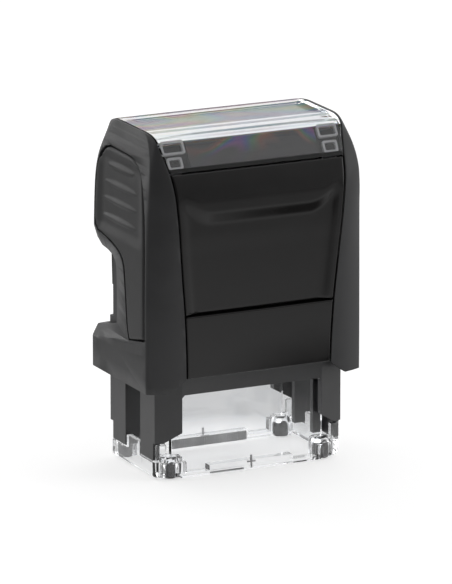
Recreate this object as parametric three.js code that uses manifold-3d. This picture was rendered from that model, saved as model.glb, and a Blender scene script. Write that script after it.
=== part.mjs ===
// Self-inking stamp: a press handle slides down over a lower frame with a clear base, and its
// text plate turns over from the ink pad to the paper on the way.
// Millimetres. X runs across the width, -Y is the front, +Z is up. The origin is the middle of
// the footprint, on the table. The handle is drawn at rest, which is fully up.
import * as THREE from "three";
import { mergeVertices } from "three/addons/utils/BufferGeometryUtils.js";
import Module from "manifold-3d";

const wasm = await Module();
wasm.setup();

// Overall and shared dimensions.
const GAP = 0.3; // clearance between neighbouring pieces
const HANDLE_BOTTOM = 16.7;
const HANDLE_TOP = 62.9;
const WALL = 1.7; // wall of the handle's front and rear bands
const ARM_INNER_X = 18.85; // inner face of the handle's arms

// The handle's outer surface, as level outlines from the bottom up. front is the depth of the
// front face at the seam, corner the depth of the crisp side corner, side the half width of the
// side face, seam the half width of the line between a side shell and the front panel, and rear
// the depth of the side corner behind.
const OUTLINES = [
  { z: 16.7, front: 13.5, corner: 11.46, side: 21.2, seam: 14.15, rear: 11.46 },
  { z: 22.0, front: 13.62, corner: 11.46, side: 21.2, seam: 14.25, rear: 11.46 },
  { z: 30.75, front: 13.84, corner: 11.46, side: 21.17, seam: 14.68, rear: 11.3 },
  { z: 36.0, front: 14.02, corner: 11.5, side: 21.12, seam: 15.15, rear: 11.15 },
  { z: 41.4, front: 14.25, corner: 11.56, side: 21.05, seam: 15.64, rear: 11.04 },
  { z: 46.8, front: 14.52, corner: 11.68, side: 20.95, seam: 16.12, rear: 10.98 },
  { z: 50.7, front: 14.43, corner: 11.95, side: 20.84, seam: 16.47, rear: 10.86 },
  { z: 53.4, front: 14.03, corner: 11.98, side: 20.7, seam: 16.7, rear: 10.62 },
  { z: 55.8, front: 13.15, corner: 11.6, side: 20.44, seam: 16.95, rear: 10.15 },
  { z: 58.0, front: 11.95, corner: 10.9, side: 20.02, seam: 17.3, rear: 9.45 },
  { z: 60.15, front: 10.65, corner: 9.6, side: 19.52, seam: 17.75, rear: 8.4 },
  { z: 61.3, front: 9.95, corner: 8.6, side: 19.25, seam: 18.0, rear: 7.7 },
  { z: 62.0, front: 9.3, corner: 7.85, side: 19.1, seam: 18.12, rear: 7.2 },
  { z: 62.5, front: 8.2, corner: 7.1, side: 18.99, seam: 18.2, rear: 6.6 },
  { z: 62.8, front: 6.8, corner: 6.1, side: 18.93, seam: 18.27, rear: 5.8 },
  { z: 62.9, front: 5.0, corner: 4.9, side: 18.9, seam: 18.3, rear: 4.9 },
];
const PANEL_CROWN = 0.22; // how far the middle of the front face stands proud of the seam

// Window, panel and strip.
const WINDOW_THICK = 1.2;
const WINDOW_FRONT_Z = 56.7;
const WINDOW_REAR_Y = 7.2;
const CLIP = { x: 15.3, half: 0.8, z0: 57.5, z1: 58.4 };
const CARD_THICK = 0.3;
const CORE_BOTTOM = 53.6;
const CORE_WALL = 1.6;
const DECK_UNDERSIDE = 59.2;
const CUP_BOTTOM = 55.4;
const STRIP_BOTTOM = 19.2;
const STRIP_TOP = 30.6;
const PANEL_BOTTOM = 30.95;
const DISH_DEPTH = 0.55;
const DISH_TOP = 48.8;
const ARCH_HALF = 13.75; // half width of the rear opening that the ink cartridge comes out of
const ARCH_TOP = 46.9;
const REAR_SEAM = 16.3;
const REAR_LEG_BOTTOM = 30.6;

// Lower frame.
const FRAME_SIDE = 18.5;
const FRAME_CORNER_Y = 9.06;
const FRAME_REAR_Y = 9.45; // the rear corners stand a little further out
const FRAME_FRONT_Y = 10.75;
const FRAME_WALL = 1.3;
const FRAME_TOP = 38;
const LEG_BOTTOM = 3.5;
const LEG_FRONT_BOTTOM = 6.7; // underside of a leg's front face, at its outer corner
const LEG_INNER = 17.1;
const OPENING_HALF = 13.84;
const OPENING_TOP = 15.5;
const SLOT_HALF = 3.1; // half width of the slot that a slider runs in
const SLOT_TOP = 30.8;
const WEB_INNER_X = 15.2;
const ROOF_BOTTOM = 31.5;
const ROOF_TOP = 33;

// Clear base.
const BASE_BOTTOM = 0.25;
const BASE_SIDE = 18.45;
const BASE_WALL = 1.3;
const BASE_TOP = 3.15;
const BOSS = { x0: 12.9, x1: 16.8, y0: 6.2, y1: 9.9, top: 4.0 };
const FOOT = { x: 15.1, y: 8.2, radius: 1.3, top: 3.05 };
const PANE = { half: 15, y0: 7.6, y1: 8.6, top: 19 };
const RAIL_HALF = 8.3;
const RAIL_INNER_Y = 7.0; // inner face of the rear rail

// Text plate and its drive.
const AXLE_Z = 19.2;
const AXLE_RADIUS = 1.1;
const PLATE_HALF_X = 12.2;
const PLATE_HALF_Y = 4.3;
const FACE_ABOVE_AXLE = 4.2;
const SLIDER = { x0: 14.9, x1: 16.5, half: 2.7, bottom: 16.5, top: 30.4 };

// Ink cartridge.
const TRAY = { half: 13.35, y0: 9.05, y1: 10.4, bottom: 23.7, top: 30.7 };
const FELT = { halfX: 12.1, halfY: 4.9, bottom: 23.72, top: 27.6 };

// Return spring.
const SPRING = { radius: 3.6, wire: 0.45, turns: 8 };

const mirrorX = new THREE.Matrix4().makeScale(-1, 1, 1);

// A closed geometry as a manifold-3d solid.
function solid(geometry) {
  const bare = geometry.clone();
  bare.deleteAttribute("normal");
  bare.deleteAttribute("uv");
  const merged = mergeVertices(bare, 1e-4);
  return new wasm.Manifold(
    new wasm.Mesh({
      numProp: 3,
      vertProperties: new Float32Array(merged.attributes.position.array),
      triVerts: new Uint32Array(merged.index.array),
    }),
  );
}

// A manifold-3d solid as a buffer geometry with flat-shaded faces.
function geometryOf(made) {
  const mesh = made.simplify(0.004).getMesh();
  const stride = mesh.numProp;
  const positions = new Float32Array((mesh.vertProperties.length / stride) * 3);
  for (let i = 0; i < positions.length / 3; i++)
    for (let k = 0; k < 3; k++)
      positions[3 * i + k] = mesh.vertProperties[stride * i + k];
  const geometry = new THREE.BufferGeometry();
  geometry.setAttribute("position", new THREE.BufferAttribute(positions, 3));
  geometry.setIndex(new THREE.BufferAttribute(new Uint32Array(mesh.triVerts), 1));
  geometry.computeVertexNormals();
  return geometry;
}

function moved(made, matrix) {
  return made.transform(matrix.elements);
}

function mirrored(made) {
  return moved(made, mirrorX);
}

function join(pieces) {
  return pieces.reduce((whole, piece) => whole.add(piece));
}

function box(x0, x1, y0, y1, z0, z1) {
  const geometry = new THREE.BoxGeometry(x1 - x0, y1 - y0, z1 - z0);
  geometry.translate((x0 + x1) / 2, (y0 + y1) / 2, (z0 + z1) / 2);
  return solid(geometry);
}

// An outline of [a, b] pairs drawn in the plane of two axes and carried from low to high along
// the third: "x" takes [y, z] pairs, "y" takes [x, z] pairs and "z" takes [x, y] pairs.
function prism(axis, outline, low, high) {
  const shape = new THREE.Shape(outline.map(([a, b]) => new THREE.Vector2(a, b)));
  const geometry = new THREE.ExtrudeGeometry(shape, { depth: high - low, bevelEnabled: false });
  const basis = {
    x: [new THREE.Vector3(0, 1, 0), new THREE.Vector3(0, 0, 1), new THREE.Vector3(1, 0, 0)],
    y: [new THREE.Vector3(1, 0, 0), new THREE.Vector3(0, 0, 1), new THREE.Vector3(0, -1, 0)],
    z: [new THREE.Vector3(1, 0, 0), new THREE.Vector3(0, 1, 0), new THREE.Vector3(0, 0, 1)],
  }[axis];
  geometry.applyMatrix4(new THREE.Matrix4().makeBasis(...basis));
  const start = axis === "x" ? [low, 0, 0] : axis === "y" ? [0, high, 0] : [0, 0, low];
  geometry.translate(...start);
  return solid(geometry);
}

// A turned piece about a vertical axis. Its profile of [radius, z] pairs starts and ends on the axis.
function turned(profile, segments = 32) {
  const geometry = new THREE.LatheGeometry(
    profile.map(([radius, z]) => new THREE.Vector2(radius, z)),
    segments,
  );
  geometry.rotateX(Math.PI / 2);
  return solid(geometry);
}

// A cylinder along X.
function rodX(x0, x1, y, z, radius, segments = 24) {
  const geometry = new THREE.CylinderGeometry(radius, radius, x1 - x0, segments);
  geometry.rotateZ(Math.PI / 2);
  geometry.translate((x0 + x1) / 2, y, z);
  return solid(geometry);
}

// A closed skin over a stack of rings, which all have the same number of points and run
// anticlockwise seen from the last ring. Each end is closed by a fan from its middle.
function loft(rings) {
  const count = rings[0].length;
  const points = rings.flat();
  const index = [];
  for (let r = 0; r + 1 < rings.length; r++)
    for (let i = 0; i < count; i++) {
      const j = (i + 1) % count;
      const a = r * count + i;
      const b = r * count + j;
      index.push(a, b, b + count, a, b + count, a + count);
    }
  const middle = (ring) =>
    [0, 1, 2].map((k) => ring.reduce((sum, point) => sum + point[k], 0) / ring.length);
  const low = points.push(middle(rings[0])) - 1;
  const high = points.push(middle(rings.at(-1))) - 1;
  const last = (rings.length - 1) * count;
  for (let i = 0; i < count; i++) {
    const j = (i + 1) % count;
    index.push(low, j, i, high, last + i, last + j);
  }
  const geometry = new THREE.BufferGeometry();
  geometry.setAttribute("position", new THREE.Float32BufferAttribute(points.flat(), 3));
  geometry.setIndex(index);
  return solid(geometry);
}

// A value of the outlines at any height, straight between the listed heights.
function outlineAt(z, key) {
  const last = OUTLINES.length - 1;
  if (z <= OUTLINES[0].z) return OUTLINES[0][key];
  for (let i = 0; i < last; i++) {
    const [a, b] = [OUTLINES[i], OUTLINES[i + 1]];
    if (z <= b.z) return a[key] + ((b[key] - a[key]) * (z - a.z)) / (b.z - a.z);
  }
  return OUTLINES[last][key];
}

// The quarter of a level outline from the middle of the front to the side corner.
function quarterOutline(front, corner, side, seam) {
  const quarter = [
    [0, front + PANEL_CROWN],
    [seam * 0.55, front + PANEL_CROWN * 0.7],
    [seam, front],
  ];
  const bend = [seam + (side - seam) * 0.5, front - (front - corner) * 0.12];
  for (const t of [0.25, 0.5, 0.75]) {
    const s = 1 - t;
    quarter.push([
      s * s * seam + 2 * s * t * bend[0] + t * t * side,
      s * s * front + 2 * s * t * bend[1] + t * t * corner,
    ]);
  }
  quarter.push([side, corner]);
  return quarter;
}

// The full level outline, anticlockwise, from the middle of the front.
function levelOutline({ front, corner, side, seam, rear }, z) {
  const ahead = quarterOutline(front, corner, side, seam);
  const behind = quarterOutline(front, rear, side, seam);
  const right = ahead.map(([x, y]) => [x, -y, z]);
  const rearRight = behind.map(([x, y]) => [x, y, z]).reverse();
  const left = behind.slice(1).map(([x, y]) => [-x, y, z]);
  const frontLeft = ahead.slice(1).map(([x, y]) => [-x, -y, z]).reverse();
  return [...right, ...rearRight, ...left, ...frontLeft];
}

// The handle's outer form shrunk by inset, as one solid block. maxSide limits its half width
// and maxDepth its depth, so that it can also stand for a cavity.
function envelope(inset, { maxSide = Infinity, maxDepth = Infinity, bottom = 0 } = {}) {
  const rings = OUTLINES.map((here, i) => {
    const below = OUTLINES[Math.max(i - 1, 0)];
    const above = OUTLINES[Math.min(i + 1, OUTLINES.length - 1)];
    const along = new THREE.Vector2(above.front - below.front, above.z - below.z).normalize();
    const atTop = i === OUTLINES.length - 1;
    const out = atTop ? new THREE.Vector2(0, 1) : new THREE.Vector2(along.y, -along.x);
    const front = Math.min(here.front - inset * out.x, maxDepth);
    const inward = (depth) => Math.min(depth - inset * out.x, front - 0.1, maxDepth - 0.4);
    const side = Math.min(here.side - inset, maxSide);
    const seam = Math.min(here.seam, side - 0.4);
    const z = here.z - inset * out.y + (i === 0 ? -bottom : 0);
    const corner = inward(here.corner);
    return levelOutline({ front, corner, side, seam, rear: inward(here.rear) }, z);
  });
  return loft(rings);
}

// A slab between the seams, from z0 to z1, whose edges stop short of the seams by the clearance.
function betweenSeams(z0, z1, y0, y1) {
  const heights = [z0, ...OUTLINES.map(({ z }) => z).filter((z) => z > z0 && z < z1), z1];
  const right = heights.map((z) => [outlineAt(z, "seam") - GAP / 2, z]);
  const left = right.map(([x, z]) => [-x, z]).reverse();
  return prism("y", [...right, ...left], y0, y1);
}

// The rear seam, which stands upright beside the arch and follows the front seam above it.
function rearSeam(from) {
  const upright = OUTLINES.filter(({ z, seam }) => z > from && seam > REAR_SEAM);
  const start = OUTLINES.find(({ seam }) => seam > REAR_SEAM).z - 2;
  return [[REAR_SEAM, from], [REAR_SEAM, start], ...upright.map(({ z, seam }) => [seam, z])];
}

// The region outside the seam on the +X side at the front, and outside the rear panel behind.
function sideRegion() {
  const heights = [HANDLE_BOTTOM - 1, ...OUTLINES.slice(1).map(({ z }) => z)];
  const edge = heights.map((z) => [outlineAt(z, "seam") + GAP / 2, z]);
  const top = [edge.at(-1)[0], HANDLE_TOP + 1];
  const outer = [[24, HANDLE_TOP + 1], [24, HANDLE_BOTTOM - 1]];
  const front = prism("y", [...edge, top, ...outer], -20, 0);
  const rearEdge = [
    [ARCH_HALF + GAP, HANDLE_BOTTOM - 1],
    [ARCH_HALF + GAP, 26],
    ...rearSeam(29).map(([x, z]) => [x + GAP / 2, z]),
  ];
  const rear = prism("y", [...rearEdge, top, ...outer], 0, 20);
  return front.add(rear);
}

// Side scoop behind each arm, as [y, z] outlines at the side face and at its inner edge.
const SCOOP_OUTER = [
  [-4.07, 25.1], [11.5, 22.0], [17, 21.2], [17, 47], [10.3, 43.3], [9.15, 42.3], [6.1, 41.85],
  [2.8, 41.15], [0.1, 40.15], [-1.55, 38.6], [-2.2, 36.3], [-2.85, 31.2], [-3.45, 27],
];
const SCOOP_INNER = [
  [4.5, 25.9], [11.5, 24.2], [17, 23.2], [17, 42.5], [12.1, 39.6], [10.4, 39.0], [9.6, 38.9],
  [7.2, 38.5], [5.7, 38.0], [4.9, 37.2], [4.5, 36.0], [4.3, 32.0], [4.3, 28.0],
];
const SCOOP_INNER_X = 19.55;

function scoop() {
  const ring = (outline, x) => outline.map(([y, z]) => [x, y, z]);
  // The outer ring is carried past the side face on the same slope.
  const past = 21.2 + 0.6;
  const grow = (past - SCOOP_INNER_X) / (21.2 - SCOOP_INNER_X);
  const wide = SCOOP_INNER.map(([y, z], i) => [
    y + (SCOOP_OUTER[i][0] - y) * grow,
    z + (SCOOP_OUTER[i][1] - z) * grow,
  ]);
  return loft([ring(SCOOP_INNER, 10), ring(SCOOP_INNER, SCOOP_INNER_X), ring(wide, past)]);
}

// Grip pad outline on the side face, as [y, z] pairs.
const PAD = [
  [-4.15, 25.15], [-3.45, 27], [-2.85, 31.2], [-2.2, 36.3], [-1.55, 38.6], [0.1, 40.15],
  [2.8, 41.15], [6.1, 41.85], [9.15, 42.3], [10.1, 43.1], [10.4, 45], [10.3, 50], [9.9, 54.4],
  [9.2, 56.6], [8.4, 57.6], [7.3, 58.1], [-0.9, 58.1], [-3.7, 57.85], [-5.8, 57.0], [-7.1, 56.0],
  [-7.8, 55.0], [-8.7, 52.6], [-9.4, 49.5], [-9.75, 46.5], [-9.95, 42], [-10.05, 26.2],
];
const PAD_THICK = 0.95;
const PAD_POCKET = 1.25;
const GROOVES = { zs: [54.9, 51.8, 48.7, 45.5], y: 1.4, halfY: 6.2, halfZ: 0.75, depth: 0.4 };

// An outline shrunk by a distance, corner by corner.
function shrunk(outline, by) {
  const count = outline.length;
  return outline.map(([a, b], i) => {
    const [pa, pb] = outline[(i + count - 1) % count];
    const [na, nb] = outline[(i + 1) % count];
    const inA = new THREE.Vector2(-(b - pb), a - pa).normalize();
    const inB = new THREE.Vector2(-(nb - b), na - a).normalize();
    const mean = inA.clone().add(inB);
    const scale = (2 * by) / Math.max(mean.lengthSq(), 0.5);
    return [a + mean.x * scale, b + mean.y * scale];
  });
}

function gripPad() {
  const skin = envelope(0.05).subtract(envelope(PAD_THICK, { bottom: 1 }));
  let pad = skin.intersect(prism("x", shrunk(PAD, GAP / 2), 15, 24));
  for (const z of GROOVES.zs) {
    const groove = new THREE.SphereGeometry(1, 18, 10);
    groove.scale(GROOVES.depth, GROOVES.halfY, GROOVES.halfZ);
    groove.translate(outlineAt(z, "side") - 0.02, GROOVES.y, z);
    pad = pad.subtract(solid(groove));
  }
  return pad;
}

function cavity() {
  return envelope(WALL, { maxSide: ARM_INNER_X, maxDepth: 12.3, bottom: 3 });
}

function sideShell() {
  const pocketSkin = envelope(-0.5).subtract(envelope(PAD_POCKET, { bottom: 1 }));
  const pocket = pocketSkin.intersect(prism("x", shrunk(PAD, -GAP / 2), 15, 24));
  // Underside of the front and rear bands, rising from the arm to the seam.
  const rise = prism("y", [[14.1, 19.25], [13, 19.9], [13, 16.5], [17.7, 16.5]], -20, 20);
  return envelope(0)
    .subtract(cavity())
    .intersect(sideRegion())
    .subtract(pocket)
    .subtract(scoop())
    .subtract(rise);
}

// Depth of the front panel's face at a point, with its shallow dish below a curved brow.
function panelDepth(x, z) {
  const seam = outlineAt(z, "seam");
  const crown = PANEL_CROWN * (1 - (x / seam) ** 2);
  const reach = Math.abs(x);
  const brow = DISH_TOP + 5.2 * Math.max(0, (reach - 9.5) / (seam - 9.5)) ** 2;
  const below = THREE.MathUtils.smoothstep(brow - z, 0, 3.2);
  const inside = THREE.MathUtils.smoothstep(seam - 0.4 - reach, 0, 2.4);
  return outlineAt(z, "front") + crown - DISH_DEPTH * below * inside;
}

// The front panel: a curved plate between the seams.
function frontPanel() {
  const columns = 26;
  const rows = 22;
  const top = WINDOW_FRONT_Z - GAP;
  const face = (inset) => (u, v) => {
    const z = PANEL_BOTTOM + (top - PANEL_BOTTOM) * v;
    const x = (2 * u - 1) * (outlineAt(z, "seam") - GAP / 2);
    return [x, -(inset ? outlineAt(z, "front") - inset : panelDepth(x, z)), z];
  };
  const outer = face(0);
  const inner = face(1.45);
  const rings = [];
  for (let r = 0; r <= rows; r++) {
    const v = r / rows;
    const ring = [];
    for (let c = 0; c <= columns; c++) ring.push(outer(c / columns, v));
    for (let c = columns; c >= 0; c--) ring.push(inner(c / columns, v));
    rings.push(ring);
  }
  return loft(rings);
}

function labelStrip() {
  const skin = envelope(0).subtract(envelope(1.5, { bottom: 1 }));
  return skin.intersect(betweenSeams(STRIP_BOTTOM, STRIP_TOP, -20, -8));
}

function rearPanel() {
  const skin = envelope(0).subtract(envelope(1.5, { bottom: 1 }));
  const bend = 1.6; // corner radius of the arch
  const outline = rearSeam(REAR_LEG_BOTTOM + 1).map(([x, z]) => [x - GAP / 2, z]);
  const half = outline[0][0];
  const arch = [
    [ARCH_HALF + 0.2, REAR_LEG_BOTTOM], [ARCH_HALF + 0.2, ARCH_TOP - bend],
    [ARCH_HALF - 0.3, ARCH_TOP - 0.45], [ARCH_HALF - bend, ARCH_TOP],
  ];
  const foot = [[half - 1.1, REAR_LEG_BOTTOM]];
  const right = [...foot, ...outline];
  const left = right.map(([x, z]) => [-x, z]).reverse();
  const inside = [...arch.map(([x, z]) => [-x, z]), ...arch.slice().reverse()];
  return skin.intersect(prism("y", [...right, ...left, ...inside], WINDOW_REAR_Y + GAP, 20));
}

function topWindow() {
  const skin = envelope(0).subtract(envelope(WINDOW_THICK, { bottom: 1 }));
  const front = betweenSeams(WINDOW_FRONT_Z, HANDLE_TOP + 1, -20, WINDOW_REAR_Y);
  const behind = box(-20, 20, 4.0, WINDOW_REAR_Y + 1, 50, HANDLE_TOP - 2.2);
  let window = skin.intersect(front).subtract(behind);
  // Square clip holes low in the front corners.
  for (const middle of [-CLIP.x, CLIP.x])
    window = window.subtract(box(middle - CLIP.half, middle + CLIP.half, -14, -10, CLIP.z0, CLIP.z1));
  return window;
}

function imprintCard() {
  const outside = envelope(WINDOW_THICK + GAP);
  const inside = envelope(WINDOW_THICK + GAP + CARD_THICK, { bottom: 1 });
  return outside.subtract(inside).intersect(box(-15.8, 15.8, -20, 5.2, 57.6, HANDLE_TOP));
}

function handleCore() {
  const depth = 2 * GAP + WINDOW_THICK + CARD_THICK;
  const outside = envelope(depth, { maxSide: ARM_INNER_X - 1.2, maxDepth: 11.9 });
  const inside = envelope(depth + CORE_WALL, {
    maxSide: ARM_INNER_X - 1.2 - CORE_WALL,
    maxDepth: 10.3,
    bottom: 1,
  });
  const block = outside.intersect(box(-30, 30, -30, 30, CORE_BOTTOM, HANDLE_TOP));
  const hollow = inside.intersect(box(-30, 30, -30, 30, CORE_BOTTOM - 1, HANDLE_TOP));
  // The spring's cup: a ring below the deck with a shallow seat inside it.
  const plug = (low, wide, narrow, high) => turned([[0, low], [wide, low], [narrow, high], [0, high]], 28);
  const cup = plug(CUP_BOTTOM, 5.7, 5.5, DECK_UNDERSIDE + 1);
  const seat = plug(50, 4.5, 4.4, DECK_UNDERSIDE + 0.3);
  return block.subtract(hollow.subtract(cup)).subtract(seat);
}

// A slider bar that carries one end of the plate's axle, with the key that joins it to its arm.
function slider() {
  const { x0, x1, half, bottom, top } = SLIDER;
  const bar = box(x0, x1, -half, half, AXLE_Z, top);
  const round = rodX(x0, x1, 0, AXLE_Z, half, 32);
  const key = box(x1 - 0.2, ARM_INNER_X - GAP, -half, half, 22.5, top - 0.6);
  const bore = rodX(x0 - 1, x1 + 1, 0, AXLE_Z, AXLE_RADIUS + GAP, 24);
  return join([bar, round.intersect(box(0, 30, -5, 5, bottom, 30)), key]).subtract(bore);
}

function frameOutline(inset) {
  const corner = FRAME_CORNER_Y - inset * 0.8;
  const rear = FRAME_REAR_Y - inset * 0.8;
  const front = FRAME_FRONT_Y - inset;
  const side = FRAME_SIDE - inset;
  const half = OPENING_HALF - inset * 0.4;
  return [
    [side, -corner], [side, rear], [half, front], [-half, front],
    [-side, rear], [-side, -corner], [-half, -front], [half, -front],
  ];
}

function lowerFrame() {
  const walls = prism("z", frameOutline(0), LEG_BOTTOM, FRAME_TOP).subtract(
    prism("z", frameOutline(FRAME_WALL), LEG_BOTTOM - 1, FRAME_TOP + 1),
  );
  const roof = prism("z", frameOutline(0.2), ROOF_BOTTOM, ROOF_TOP);
  const post = turned([[0, ROOF_TOP - 0.2], [2.4, ROOF_TOP - 0.2], [2.4, 38], [1.8, 39], [0, 39]]);
  let frame = join([walls, roof, post]);

  // Side slots with a guide web on both sides of each.
  for (const side of [-1, 1]) {
    const [x0, x1] = side > 0 ? [WEB_INNER_X, FRAME_SIDE] : [-FRAME_SIDE, -WEB_INNER_X];
    for (const end of [-1, 1]) {
      const [y0, y1] = end > 0 ? [SLOT_HALF, SLOT_HALF + 1.1] : [-SLOT_HALF - 1.1, -SLOT_HALF];
      frame = frame.add(box(x0, x1, y0, y1, LEG_BOTTOM, ROOF_TOP));
    }
    frame = frame.subtract(
      side > 0
        ? box(WEB_INNER_X - 0.1, 25, -SLOT_HALF, SLOT_HALF, 0, SLOT_TOP)
        : box(-25, -WEB_INNER_X + 0.1, -SLOT_HALF, SLOT_HALF, 0, SLOT_TOP),
    );
  }

  // Rails for the ink cartridge, from the front wall to the rear wall.
  for (const side of [-1, 1]) {
    const [x0, x1] = side > 0 ? [12.95, 14.55] : [-14.55, -12.95];
    frame = frame.add(box(x0, x1, -9.9, 9.9, 22.4, 23.4));
  }

  // Front and rear windows between the legs, whose feet slope up to the opening.
  const gate = [
    [LEG_INNER, 0], [LEG_INNER, LEG_FRONT_BOTTOM], [OPENING_HALF, 8.6],
    [OPENING_HALF, OPENING_TOP - 0.5], [OPENING_HALF - 0.5, OPENING_TOP],
  ];
  const outline = [...gate, ...gate.map(([x, z]) => [-x, z]).reverse()];
  for (const [near, far] of [[-20, -7.8], [7.8, 20]])
    frame = frame.subtract(prism("y", outline, near, far));
  for (const [near, far] of [[-20, -8.35], [8.35, 20]])
    frame = frame.subtract(box(-20, 20, near, far, 0, LEG_FRONT_BOTTOM));

  // The cartridge's way out at the rear, and the rear corners cut back above the flared foot.
  const exit = TRAY.half + GAP;
  frame = frame.subtract(box(-exit, exit, 8, 20, TRAY.bottom - GAP, ROOF_BOTTOM - GAP));
  for (const side of [-1, 1]) {
    const corner = [[19, 7.75], [19, 10], [15.6, 10.9], [15.9, 10.05]].map(([x, y]) => [side * x, y]);
    const upper = prism("z", side > 0 ? corner : corner.reverse(), 26.2, FRAME_TOP + 1);
    frame = frame.subtract(upper);
  }
  // The walls are lowered between the cheeks, around the spring's post.
  const around = turned([[0, 30], [3, 30], [3, 45], [0, 45]], 24);
  return frame.subtract(box(-13.2, 13.2, -20, 20, 34.4, FRAME_TOP + 1).subtract(around));
}

function clearBase() {
  const outlineOf = (inset) => {
    const side = BASE_SIDE - inset;
    const corner = FRAME_CORNER_Y - 0.15 - inset * 0.8;
    const rear = FRAME_REAR_Y + 0.05 - inset * 0.8;
    const front = FRAME_FRONT_Y - 0.15 - inset;
    const half = OPENING_HALF - inset * 0.4;
    const round = 0.6;
    return [
      [side, -corner + round], [side, rear - round], [side - round, rear + 0.1],
      [half, front], [-half, front], [-side + round, rear + 0.1],
      [-side, rear - round], [-side, -corner + round], [-side + round, -corner - 0.1],
      [-half, -front], [half, -front], [side - round, -corner - 0.1],
    ];
  };
  const ring = (inset, z) => outlineOf(inset).map(([x, y]) => [x, y, z]);
  const skirt = loft([
    ring(0.5, BASE_BOTTOM),
    ring(0.12, BASE_BOTTOM + 0.45),
    ring(0, BASE_BOTTOM + 1),
    ring(0, BASE_TOP),
  ]);
  let base = skirt.subtract(prism("z", outlineOf(BASE_WALL), -1, BASE_TOP + 1));

  // The skirt's front and rear are low sills with a taller rail in the middle, and a pane stands
  // behind each of the frame's openings.
  const sillHalf = BOSS.x0 + 1;
  const outer = FRAME_FRONT_Y - GAP;
  for (const end of [-1, 1]) {
    const slab = (half, near, far, low, high) =>
      box(-half, half, Math.min(end * near, end * far), Math.max(end * near, end * far), low, high);
    base = base
      .subtract(slab(BOSS.x0, 8.6, 14, 1.0, 5))
      .add(slab(sillHalf, PANE.y0, outer, BASE_BOTTOM, 0.95))
      .add(slab(RAIL_HALF, end > 0 ? RAIL_INNER_Y : PANE.y0, outer, BASE_BOTTOM, 1.9))
      .add(slab(sillHalf, PANE.y0, PANE.y1, BASE_BOTTOM, 5))
      .add(slab(PANE.half, PANE.y0, PANE.y1, 3.9, PANE.top));
  }

  // Corner bosses with a short post each, and foot bores that are open below.
  const bore = turned(
    [
      [0, -1], [FOOT.radius + GAP, -1], [FOOT.radius + GAP, FOOT.top - 0.6],
      [FOOT.radius - 0.2, FOOT.top + 0.35], [0, FOOT.top + 0.35],
    ],
    24,
  );
  for (const sx of [-1, 1])
    for (const sy of [-1, 1]) {
      const place = new THREE.Matrix4().makeScale(sx, sy, 1);
      base = base.add(moved(cornerBoss(), place)).add(moved(cornerPost(), place));
      base = base.subtract(bore.translate([sx * FOOT.x, sy * FOOT.y, 0]));
    }

  // A tab that closes the foot of each side slot.
  for (const [x0, x1] of [[LEG_INNER, BASE_SIDE], [-BASE_SIDE, -LEG_INNER]])
    base = base.add(box(x0, x1, -SLOT_HALF + 0.4, SLOT_HALF - 0.4, BASE_BOTTOM + 0.6, 5.5));
  return base;
}

function cornerBoss() {
  const { x0, x1, y0, y1, top } = BOSS;
  const ring = (inset, z) => [
    [x1 - 1.2, y0, z], [x1, y0 + 1, z], [x1, y1 - 1.2, z], [x1 - 1.2, y1, z],
    [x0 + inset, y1 + 0.2, z], [x0 + inset, y0, z],
  ];
  return loft([
    ring(0.35, BASE_BOTTOM), ring(0, BASE_BOTTOM + 0.5), ring(0, top - 0.6), ring(0.6, top),
  ]);
}

// The short post below the frame's front face at a corner.
function cornerPost() {
  const outline = [[16.4, 8.7], [18.1, 8.7], [18.1, 9.0], [16.4, 9.55]];
  return prism("z", outline, BOSS.top - 2.5, LEG_FRONT_BOTTOM - 0.35);
}

function foot() {
  const { radius, top } = FOOT;
  const dome = [[radius, top - 1.2], [radius * 0.8, top - 0.4], [radius * 0.45, top - 0.08]];
  return turned([[0, 0], [radius - 0.15, 0], [radius, 0.15], ...dome, [0, top]], 24);
}

function plateHolder() {
  const body = box(-PLATE_HALF_X, PLATE_HALF_X, -PLATE_HALF_Y, PLATE_HALF_Y, 18.1, 20.8);
  const axle = rodX(-16.2, 16.2, 0, AXLE_Z, AXLE_RADIUS, 24);
  const grooves = box(-10.6, 10.6, -3.1, 3.1, 17.5, 18.9);
  const ribs = join([-5.3, 0, 5.3].map((x) => box(x - 0.5, x + 0.5, -3.4, 3.4, 18.1, 19)));
  return body.subtract(grooves).add(ribs).add(axle);
}

function inkTray() {
  const { half, y0, y1, bottom, top } = TRAY;
  const block = box(-half, half, -y0, y1, bottom, top);
  const [pocketX, pocketY] = [FELT.halfX + GAP, FELT.halfY + GAP];
  const pocket = box(-pocketX, pocketX, -pocketY, pocketY, bottom - 1, FELT.top + GAP);
  const lid = box(-half + 1.6, half - 1.6, -y0 + 1.6, y1 - 3.2, top - 0.9, top + 1);
  const lip = box(-8, 8, y1 - 0.2, y1 + 0.9, 25.2, 29.6);
  const notches = join([25.75, 27.15, 28.55].map((z) => box(-6.6, 6.6, y1 + 0.45, y1 + 2, z, z + 0.5)));
  return block.subtract(pocket).subtract(lid).add(lip).subtract(notches);
}

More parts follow.
